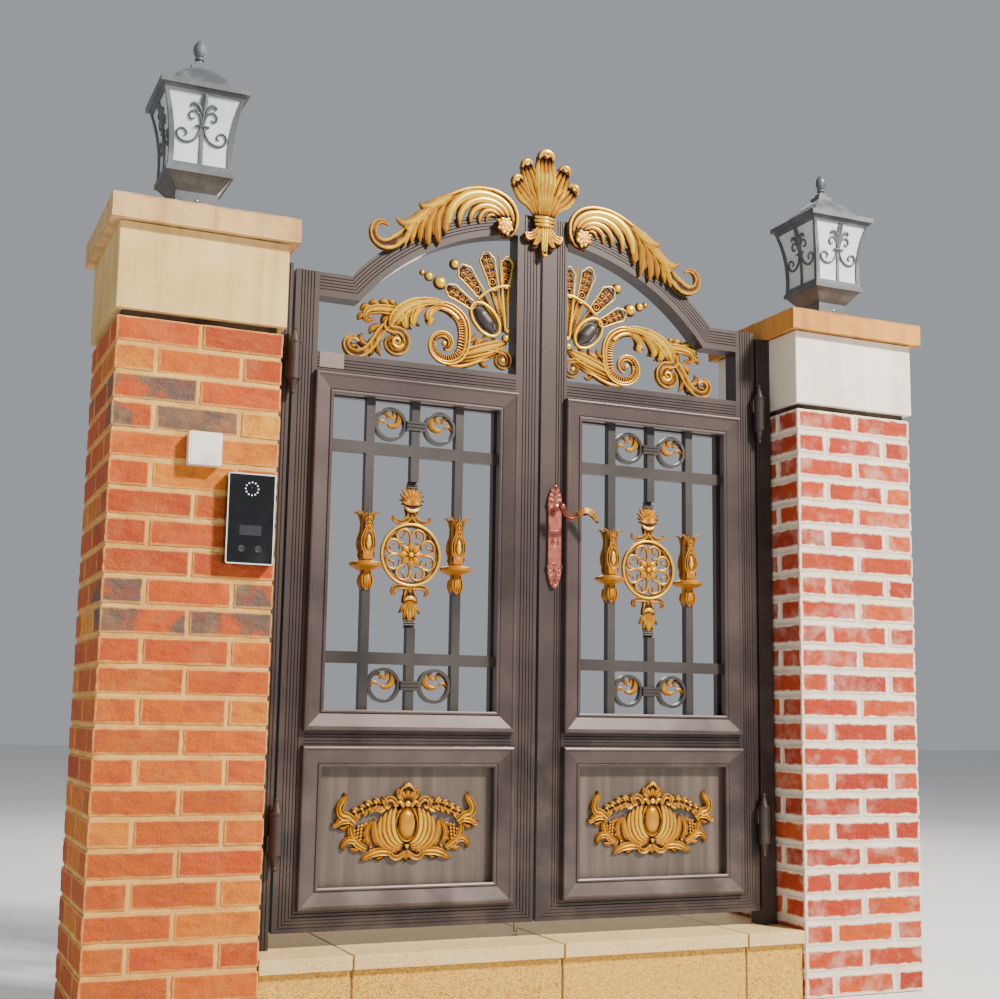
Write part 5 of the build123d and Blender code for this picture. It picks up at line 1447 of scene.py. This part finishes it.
for side in (-1, 1):
    garland = sided(side, [(14, 9.4), (20, 11.2), (26.6, 9.8), (33, 6.8), (39, 4.6)])
    shell.strand(garland, [1.4, 1.9, 2, 1.9, 1.5], "fluted", 1)
    for order, share in enumerate((0.08, 0.26, 0.44, 0.62, 0.8)):
        root, heading = walk(garland, share)
        for way in (-1, 1):
            out = turned(heading, way * 62)
            bend = turned(heading, way * 18)
            long = 5.2 - 0.4 * order - 0.8 * (way == order % 2)
            lobe = [root, root + out * long * 0.6, root + out * long * 0.75 + bend * long * 0.6]
            shell.strand(lobe, [1.3, 2, 0.9], "fluted", [1, 1.8, 1.2])
    shell.strand(sided(side, [(36, -0.4), (41, 3.4), (45, 4.8), (46.8, 9), (44.6, 13.4), (42.8, 16.2),
                              (44, 19)]),
                 [2.6, 3.2, 3, 2.6, 2.3, 1.6, 0.4], "ribbed", [1, 1.2, 1.4, 1.6, 1.6, 1.2, 0.8])
    shell.strand(sided(side, [(40, 1.6), (45.6, 1), (49.4, -1.6), (51.6, -0.2)]), [2.4, 2.6, 1.6, 0.4],
                 "ribbed", 1.4)
    shell.strand(sided(side, [(40, -1.6), (44, -3.6), (48, -3)]), [1.8, 1.9, 0.4], "ridge", 1)
    shell.strand(sided(side, [(38.6, 0), (38.4, -7), (34.6, -13), (28, -17.4)]), [1.7, 2.4, 2.7, 2],
                 "ribbed", 0.8)
    shell.strand(sided(side, [(35, -12), (40.6, -11.4), (43.4, -14.4), (43.2, -18)]), [2, 2.4, 1.8, 0.5],
                 "ribbed", 1.2)
    shell.strand(sided(side, [(30, -16), (35, -17.4), (39, -16.6)]), [1.8, 1.9, 0.5], "ridge", 1)
    shell.strand(sided(side, [(24, 0.6), (27.4, -5), (27, -11), (23.6, -15.4)]), [1.2, 1.9, 1.9, 1],
                 "ribbed", 0.8)
    for base in (-3, -8, -12.6):
        shell.strand(sided(side, [(27, base + 2), (29.4, base + 1), (30.4, base - 1.6)]), [1, 1.4, 0.4],
                     "ridge", 1)
    for row, count in enumerate((2, 3, 3, 3, 2)):
        for k in range(count):
            shell.bead(side * (31.2 + 2.2 * k + 0.2 * row), -2.2 - 2.2 * row - 0.5 * k, 1.2, 0.9)
    for u, v in ((24.6, -16), (22.6, -17.4), (25, -18.2)):
        shell.bead(side * u, v, 1.15, 0.9)
    shell.strand(sided(side, [(9, -20.6), (15, -19), (22, -19.6), (28, -22.2), (31.6, -24.6)]),
                 [1.6, 2.7, 2.8, 2, 0.4], "ribbed", 1)
    shell.strand(sided(side, [(14, -20), (18.6, -23), (22.4, -23.6)]), [1.6, 1.7, 0.4], "ridge", 1)
    shell.strand(sided(side, [(2, -20.4), (5.6, -23), (9.6, -22.4), (10.8, -19.4), (8.4, -18),
                              (7.2, -19.8)]),
                 [1.5, 1.8, 1.8, 1.6, 1.3, 0.8], "fluted", 1.5)
for angle, reach in ((-90, 7.6), (-68, 7), (-112, 7), (-46, 6.2), (-134, 6.2)):
    shell.strand(ray((0, -18.4), angle, 0, reach * 0.55, reach), [1.2, 1.6, 0.4], "ridge", [1.4, 1.6, 0.8])

boss = Casting(on_panel, cartouche_unit)
boss.bead(0, -1.4, 5.9, 1.2, 1.62, 0.66)
oval_boss = keep(boss.build("oval_boss", cartouche_back, cartouche_front), "hollow", 0.42)
cartouche = joined("right_gilt_cartouche",
                   [oval_boss, shell.build("shell", cartouche_back, cartouche_front)])
cartouches = with_left(cartouche, "gilt_cartouche", panel_shift)
print("cartouche", triangles(cartouches["right"]), "triangles")


# %% [markdown]
# In each ring of the grille three gilt leaf hooks roll towards the middle, mirrored about the centre bar,
# and the gold runs along the ring's top and outer side. The four rings of a leaf are copies of one.

# %% Ring hooks
ring_radius = 49 * mm
ring_offset = 76 * mm
hook_back, hook_front = -44 * mm, -63 * mm
low_ring = leaf_underside + 706 * mm - ring_radius
high_ring = leaf_underside + 1353 * mm + ring_radius


def ring_hooks(x, z, side):
    """Hooks of one ring; side is -1 where its outer edge is on the left."""
    hooks = Casting(lambda u, v: (x - side * u * mm, z + v * mm))
    hooks.strand([(24, 38), (4, 45), (-16, 42), (-33, 31), (-43, 14), (-45, -4), (-40, -21)],
                 [1.6, 2.8, 3.2, 3.4, 3.4, 3.2, 1.6], "round", 13)
    hooks.strand([(-41, 8), (-37, 22), (-25, 32), (-13, 31), (-8, 22), (-13, 17)],
                 [3.4, 5.4, 5.6, 4.8, 3.6, 1.4], "ridge", 9)
    hooks.strand([(-42, -12), (-39, 0), (-29, 8), (-19, 5), (-17, -1)], [3, 5.2, 5, 3.6, 1.2], "ridge", 10)
    hooks.strand([(20, 37), (27, 24), (25, 8), (13, -3), (-2, -4), (-9, 1)], [3, 7.4, 9.4, 8, 5, 1.8],
                 "ridge", 9)
    hooks.strand([(6, 43), (11, 32), (8, 22), (0, 20), (-2, 26)], [3, 5, 4.6, 3.4, 1.2], "ridge", 10)
    hooks.strand([(30, 30), (36, 16), (37, 2)], [3, 3.4, 1], "ridge", 8)
    return hooks.build("ring_hook", hook_back, hook_front)


hook_pieces = [ring_hooks(right_middle + side * ring_offset, height, side)
               for height in (low_ring, high_ring) for side in (-1, 1)]
ring_leaves = with_left(joined("right_ring_leaves", hook_pieces), "ring_leaves", panel_shift)
print("ring leaves", triangles(ring_leaves["right"]), "triangles")


# %% [markdown]
# Each pane of the lanterns carries a slim fleur in iron: an upright from the sill to a tie at half
# height, a bud and two leaves over it, small scrolls beside it and larger ones below. It follows the
# outward curve of the pane.

# %% Lantern ironwork
lantern_lift = 154 * mm
lantern_tall = 224 * mm
pane_inset = 3 * mm


def pane_reach(share):
    """How far a pane's face lies from the lantern's middle, share of the way up."""
    return (89.5 - 17.5 * share + 43 * share ** 2) * mm - pane_inset


fleur = Casting(upright(0, 0))
fleur.strand([(0, 6), (0, 60), (0, 122)], 5.6, "flat", 1)
fleur.strand([(0, 118), (0, 140), (0, 166)], [4.2, 4, 4.6], "round", 1.4)
fleur.strand([(-19, 122), (0, 122.4), (19, 122)], [2.6, 3.2, 2.6], "round", 4)
fleur.strand([(0, 162), (0, 176), (0, 192), (0, 206), (0, 216)], [3, 7.4, 10, 7, 1], "ridge", 2)
fleur.both([(3, 124), (6, 142), (12, 156), (24, 163), (35, 158), (38, 147), (31, 139), (23, 144)],
           [3, 3, 3, 3, 2.8, 2.6, 2.4, 1.8], "round", 1.6)
fleur.both([(2, 134), (5, 156), (12, 172), (24, 181), (34, 178), (33, 171)], [3, 4.6, 6, 5.6, 3.4, 1.4],
           "ridge", 1.8)
fleur.both([(5, 119), (8, 104), (17, 88), (33, 76), (52, 75), (66, 86), (68, 100), (58, 110), (46, 106),
            (42, 96), (48, 91)],
           [3.2, 3.4, 3.6, 3.6, 3.4, 3.2, 3, 2.8, 2.6, 2.4, 2], "round", 1.6)
fleur_front = fleur.build("fleur", 0, -11 * mm)
bent_points = read_points(fleur_front)
bent_points[:, 1] -= pane_reach(np.clip(bent_points[:, 2] / lantern_tall, 0, 1))
move_points(fleur_front, bent_points)

lantern_fleurs = {}
for side in both_sides:
    low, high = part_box(f"{side}_lantern_frame")
    middle = (low + high) / 2
    fronts = []
    for turn in range(4):
        front = copied(fleur_front, "fleur_side")
        front.rotation_euler = (0, 0, math.radians(90 * turn))
        front.location = (middle.x, middle.y, low.z + lantern_lift)
        fronts.append(settle(front))
    lantern_fleurs[side] = joined(f"{side}_lantern_fleurs", fronts)
bpy.data.objects.remove(fleur_front)
print("fleurs", triangles(lantern_fleurs["left"]), "triangles")

# %% [markdown]
# The lanterns are painted a mid grey that has gone dusty in clouds; the panes are frosted a
# bluish white. The block that carries each one is held by a screw through its front.

# %% Lantern finishes
lantern_paint = Finish("lantern_paint", 0.55, 0.1, 0.05)
dust = lantern_paint.noise(14.0, 6.0).step(0.4, 0.75)
worn = lantern_paint.noise(160.0, 4.0).step(0.6, 0.74)
grey = lantern_paint.mix(dust, "4c5157", "6c7177")
lantern_paint.colour(worn * 0.4, grey, "9a9a98")
lantern_paint.shine(dust, 0.46, 0.68)
lantern_paint.bump(lantern_paint.noise(320.0, 3.0), 0.15, 0.0006)
frosted = clouded("frosted_pane", (0.42, 0.0, 0.1), (7.0, 5.0, 0.3, 0.75), "cfdcdf", "b4c6ca",
                  skin=(900.0, 2.0, 0.1, 0.0003))
for side in both_sides:
    paint(lantern_paint, f"{side}_lantern_frame", f"{side}_lantern_roof")
    fit(lantern_paint, lantern_fleurs[side], "surround", "lantern_grey")
    paint(frosted, f"{side}_lantern_glass")
    low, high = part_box(f"{side}_lantern_frame")
    bpy.ops.mesh.primitive_uv_sphere_add(segments=16, ring_count=8, radius=5 * mm)
    screw = bpy.context.object
    screw.name = f"{side}_lantern_screw"
    screw.scale.y = 0.5
    screw.location = ((low.x + high.x) / 2, -59.6 * mm, low.z + 72 * mm)
    fit(bolt_steel, settle(screw), "surround", "lantern_grey")


# %% [markdown]
# The gilding is a gold paint with light painted into it: the ridges are a painted highlight in cream
# gold, the flanks a warmer orange gold, and the hollows a painted shade in dark brown. The hollow stored
# on each casting steers the three colours.

# %% Gilding
gilt = Finish("gilt", 0.36, 0.45)
# Painted light: high relief is painted cream as a highlight, the hollows dark brown as painted shade.
hollow = gilt.attribute("hollow") + (gilt.noise(60.0, 5.0) - 0.5) * 0.22
gold = gilt.mix(hollow.step(0.18, 0.5), "e0bb3a", "ba7811")
gold = gilt.mix(hollow.step(0.5, 0.76), gold, "3a1c06")
rubbed = gilt.noise(210.0, 4.0).step(0.6, 0.72) * 0.3
gilt.colour(rubbed, gold, "9c6a20")
gilt.shine(hollow.step(0.4, 0.8), 0.32, 0.7)
gilt.bump(gilt.noise(420.0, 3.0), 0.18, 0.0006)


def gild(piece, leaf, *replaced):
    """A gilt casting that rides on its leaf, and the CAD nodes it stands for, if any."""
    fit(gilt, piece, leaf, "gilt")
    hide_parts(*replaced)


for side in both_sides:
    leaf = f"{side}_leaf"
    gild(crest_scroll[side], leaf, f"{side}_crest_scroll")
    gild(fanlight_ornament[side], leaf, f"{side}_fanlight_ornament")
    gild(medallions[side], leaf, f"{side}_medallion")
    gild(spears[side], leaf)
    gild(ring_leaves[side], leaf)
    gild(cartouches[side], leaf, f"{side}_cartouche")
    fit(bar_grey, bulb_dark[side], leaf, "grey_coat")
    fit(bar_grey, bar_collars[side], leaf, "grey_coat")
gild(finial_casting, "right_leaf", "finial")
fit(frame_bronze, finial_pad, "right_leaf", "powder_coat")


# %% [markdown]
# The lock plate is cast with a leaf at each end and a plain middle that bears a round key cover. The
# lever starts as a rosette, dips like a swan's neck and swells into a fluted golden leaf that droops at
# its tip. Its front and back are castings, joined by a turned spindle.

# %% Lock plate relief
plate_middle = 50 * mm
plate_foot = leaf_underside + 952 * mm
plate_back, plate_front = -86 * mm, -99 * mm

plate = Casting(upright(plate_middle, plate_foot))
plate.both([(18.6, 72), (18.6, 150), (18.6, 244)], [2.0, 2.0, 2.0], "round", 1)
plate.both([(13.4, 76), (13.4, 150), (13.4, 176)], [0.9, 0.9, 0.9], "round", 2)
for level in (74, 172):
    plate.strand([(-17, level), (0, level), (17, level)], 1.4, "round", 1.6)
plate.bead(0, 136, 10.5, 1.4, 1.0, 0.4)
plate.loop(0, 136, 11.5, 11.5, 1.2, "round", 2.2)
plate.bead(0, 139, 4.2, 4.4, 1.0, 0.7)
plate.loop(0, 106, 5.4, 11, 1.3, "round", 1.6)
plate.strand([(0, 98), (0, 106), (0, 114)], [1, 2.2, 1], "round", 1.2)
for foot, way in ((64, -1), (250, 1)):
    plate.both([(4, foot - way * 6), (13, foot - way * 9), (21, foot - way * 4), (22, foot + way * 5),
                (15, foot + way * 8),
                (12, foot + way * 2)], [2, 2.8, 2.8, 2.6, 2.2, 1.2], "fluted", 2)
    plate.strand([(0, foot - way * 8), (0, foot + way * 18), (0, foot + way * 40), (0, foot + way * 54)],
                 [3.4, 4.4, 4, 1.6], "ridge", 4)
    for start, reach in ((4, 1.0), (18, 0.9), (31, 0.66)):
        plate.both([(2, foot + way * start), (9 * reach, foot + way * (start + 7)),
                    (17 * reach, foot + way * (start + 9)),
                    (20 * reach, foot + way * (start + 3))], [2.2, 3.6, 3.2, 1], "ridge", 3)
    plate.strand([(-7, foot + way * 48), (0, foot + way * 56), (7, foot + way * 48)], [1.6, 3, 1.6], "round",
                 6)
plate_relief = plate.build("lock_plate_relief", plate_back, plate_front)

# %% Lever
lever_axis = leaf_underside + 1190 * mm
lever_depth = -136.3 * mm
lever_rear_depth = 28.3 * mm
grip_back, grip_deep = lever_depth + 3 * mm, 16 * mm

grip = Casting(upright(plate_middle, lever_axis))
grip.strand([(0, 2), (5, -12), (16, -25), (31, -30), (46, -23), (61, -12), (78, -7), (95, -13), (109, -27),
             (118, -41)],
            [9, 8.4, 7, 6.4, 7.4, 9, 10.4, 10, 7.6, 3.4], "fluted", [3, 3, 3, 3, 3, 3.4, 4, 4, 3.4, 2])
fan_out = ((50, -20, -0.3, 0.4), (63, -11, -0.4, 0.8), (78, -7, 0, 1), (95, -13, 0.6, 0.9),
           (108, -26, 0.8, 0.6),
           (115, -36, 0.4, 0.2))
for offset in (-5, 0, 5):
    run = [(u + offset * k, v + offset * m) for u, v, k, m in fan_out]
    grip.strand(run, [0.9, 1.7, 2.1, 2.1, 1.6, 0.8], "round", [8, 9.6, 10.6, 10.4, 9, 6])
grip.bead(0, 0, 11.4, 2, 1.0, 0.8)
for angle in range(0, 360, 45):
    grip.strand(ray((0, 0), angle, 3, 7, 10.4), [1.4, 2.6, 1], "ridge", [9, 8, 5])
grip.strand([(38, -30), (47, -31), (56, -24), (60, -17)], [1, 2.8, 2.6, 0.8], "ridge", 5)
grip.strand([(64, -16), (72, -20), (82, -17), (88, -12)], [1, 2.6, 2.4, 0.8], "ridge", 5)
front_grip = grip.build("lever_front", grip_back, grip_back - grip_deep)
rear_grip = turned_back(front_grip, "lever_back", (lever_rear_depth + lever_depth) / 2)
rod_outline = [(0, -30), (8, -30), (8, 6), (9, 12), (13, 16), (13, 19.4), (6, 19.4), (6, 100), (11, 100),
               (11, 103),
               (8.6, 107), (8.2, 124), (10, 130), (10, 134), (0, 134)]
rod = keep(lathe("spindle", rod_outline, mm, (0, 0, 0)), "hollow", 0.4)
rod.rotation_euler.x = math.radians(90)
rod.location = (plate_middle, 0, lever_axis)
lever_grips = joined("lever_grips", [settle(rod), rear_grip, front_grip])
print("plate", triangles(plate_relief), "lever", triangles(lever_grips), "triangles")

# %% Rose bronze
rose_bronze = Finish("rose_bronze", 0.34, 0.75)
rubbing = rose_bronze.noise(70.0, 5.0).step(0.35, 0.7)
golden_rose = Finish("golden_bronze", 0.34, 0.75)
along = golden_rose.axis(0).step(0.09, 0.13)
# Both bronzes are painted dark in their hollows, as painted shade.
for bronze, amount, first, second, hollow_shade in ((rose_bronze, rubbing, "a4584c", "c98a78", "35130e"),
                                             (golden_rose, along, "94503f", "d09a48", "4d2a1c")):
    bronze.colour(bronze.attribute("hollow").step(0.48, 0.8), bronze.mix(amount, first, second), hollow_shade)
    bronze.bump(bronze.noise(300.0, 3.0), 0.12, 0.0005)
rose_skin = (260.0, 3.0, 0.12, 0.0005)
plain_rose = clouded("plain_rose_bronze", (0.36, 0.7), (40.0, 5.0, 0.35, 0.7), "b05c52", "c4786a",
                     skin=rose_skin)
paint(plain_rose, "lock_plate")
fit(rose_bronze, plate_relief, "right_leaf", "rose_bronze")
fit(golden_rose, lever_grips, "lever", "rose_bronze", "lever_handle")


# %% [markdown]
# The entry panel on the left pier has a black glass face in a thin silver rim: a ring of twelve white
# lights round a lens, a small dark window and two round keys. The white box beside it has a lid. The
# panel is bare, and so is the small plate on the left leaf's transom.

# %% Entry panel, box and plate
def pick_by(kind):
    """Nothing stays selected on the active piece, and edit mode will pick edges or faces."""
    bpy.ops.object.mode_set(mode="EDIT")
    bpy.ops.mesh.select_mode(type=kind)
    bpy.ops.mesh.select_all(action="DESELECT")
    bpy.ops.object.mode_set(mode="OBJECT")


def rounded_plate(name, low, high, corner, arris, hollow=0.0):
    """Upright plate between two corners, with round corners; hollow leaves only a rim that wide."""
    low, high = Vector(low), Vector(high)
    size = high - low
    plate = plain_box(name, size, (low + high) / 2)
    pick_by("EDGE")
    for edge in plate.data.edges:
        first, second = (plate.data.vertices[k].co for k in edge.vertices)
        edge.select = abs(first.y - second.y) > size.y / 2
    bpy.ops.object.mode_set(mode="EDIT")
    bpy.ops.mesh.bevel(offset=corner, segments=6, affect="EDGES")
    bpy.ops.object.mode_set(mode="OBJECT")
    if hollow:
        pick_by("FACE")
        for face in plate.data.polygons:
            face.select = abs(face.normal.y) > 0.9
        bpy.ops.object.mode_set(mode="EDIT")
        bpy.ops.mesh.inset(thickness=hollow)
        bpy.ops.mesh.bridge_edge_loops()
        bpy.ops.object.mode_set(mode="OBJECT")
    return soften(plate, arris)


def button(name, x, y, z, radius, deep, sunk=0.0):
    """Round key standing out towards the front, its face dished by sunk."""
    bpy.ops.mesh.primitive_cylinder_add(vertices=32, radius=radius, depth=deep,
                                        location=(x, y - deep / 2, z),
                                        rotation=(math.radians(90), 0, 0))
    key = bpy.context.object
    key.name = name
    settle(key)
    pick_by("FACE")
    for face in key.data.polygons:
        face.select = face.normal.y < -0.9
    bpy.ops.object.mode_set(mode="EDIT")
    bpy.ops.mesh.inset(thickness=radius * 0.22)
    bpy.ops.transform.translate(value=(0, -deep * 0.2 + sunk, 0))
    bpy.ops.mesh.inset(thickness=radius * 0.3)
    bpy.ops.transform.translate(value=(0, sunk, 0))
    bpy.ops.object.mode_set(mode="OBJECT")
    return key


def edged_plate(name, low, high, margin, out, deep, *edges):
    """Rounded plate on the front of a wall item: margin inside its edges, out before it, deep into it."""
    return rounded_plate(name, (low.x + margin, low.y - out, low.z + margin),
                         (high.x - margin, low.y + deep, high.z - margin), *edges)


panel_low, panel_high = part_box("intercom")
panel_x, panel_face = (panel_low.x + panel_high.x) / 2, panel_low.y
silver_rim = edged_plate("entry_panel_rim", panel_low, panel_high, 0.4 * mm, 0.8 * mm, 3 * mm, 6 * mm,
                         0.5 * mm, 3.2 * mm)
lens_height = panel_high.z - 41 * mm
light_circle = 17 * mm
lights = []
for order in range(12):
    angle = 2 * math.pi * order / 12
    x, z = panel_x + light_circle * math.sin(angle), lens_height + light_circle * math.cos(angle)
    lights.append(button("light", x, panel_face, z, 2.1 * mm, 0.7 * mm))
white_lights = joined("entry_panel_lights", lights)
lens = button("entry_panel_lens", panel_x, panel_face, lens_height, 6 * mm, 1.4 * mm, 0.5 * mm)
window_half = Vector((29, 0, 13)) * mm
window_middle = Vector((panel_x, panel_face, panel_high.z - 150 * mm))
window = rounded_plate("entry_panel_window", window_middle - window_half - Vector((0, 0.5 * mm, 0)),
                       window_middle + window_half + Vector((0, 1 * mm, 0)), 3 * mm, 0.3 * mm)
key_height, key_apart = panel_high.z - 198 * mm, 22 * mm
keys = joined("entry_panel_keys",
              [button("key", panel_x + side * key_apart, panel_face, key_height, 9 * mm, 1.6 * mm, 0.6 * mm)
                                   for side in (-1, 1)])
lid = edged_plate("wall_box_lid", *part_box("wall_box"), 5 * mm, 1.2 * mm, 3 * mm, 6 * mm, 1 * mm)
plate_low, plate_high = (-0.6885, -82 * mm, 1.7835), (-0.6165, -80 * mm, 1.8275)
number_plate = rounded_plate("bare_number_plate", plate_low, plate_high, 1.5 * mm, 0.5 * mm)

black_glass = clouded("black_glass", (0.12, 0.0, 0.6), (18.0, 6.0, 0.45, 0.8), "0c0d10", "191b1f",
                      shine=(0.1, 0.28))
smoked = clouded("smoked_window", (0.25,), (30.0, 4.0), "2a2c31", "383a40")
silver = clouded("silver_rim", (0.42, 0.25), (200.0, 3.0), "d8d9db", "eeeeef")
lamp_white = clouded("lamp_white", (0.4,), (400.0, 2.0), "f4f6f8", "dfe4ea")
white_plastic = clouded("white_plastic", (0.45, 0.0, 0.1), (22.0, 6.0, 0.4, 0.8), "f1eee6", "dcd5c6",
                        skin=(500.0, 2.0, 0.1, 0.0003))
brushed = Finish("brushed_plate", 0.38, 0.4)
strokes = brushed.noise(4.0, 5.0, brushed.stretched((30.0, 30.0, 700.0)))
brushed.colour(strokes, "6d615b", "8f827b")
paint(black_glass, "intercom")
paint(white_plastic, "wall_box")
panel_pieces = ((black_glass, lens), (silver, silver_rim), (lamp_white, white_lights), (smoked, window),
                (smoked, keys))
for finish, piece in panel_pieces:
    fit(finish, piece, "surround", "black_glass")
fit(white_plastic, lid, "surround", "white_plastic")
fit(brushed, number_plate, "left_leaf", "powder_coat")
print("wall pieces", triangles(silver_rim, lens, white_lights, window, keys, lid, number_plate))


# %% Sections put away
for holder in section_holders.values():
    bpy.data.objects.remove(holder)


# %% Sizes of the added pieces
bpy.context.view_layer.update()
added = [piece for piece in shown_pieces() if "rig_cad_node" not in piece]
print("added pieces", len(added), "triangles",
      triangles(*[piece for piece in added if piece.type == "MESH"]))
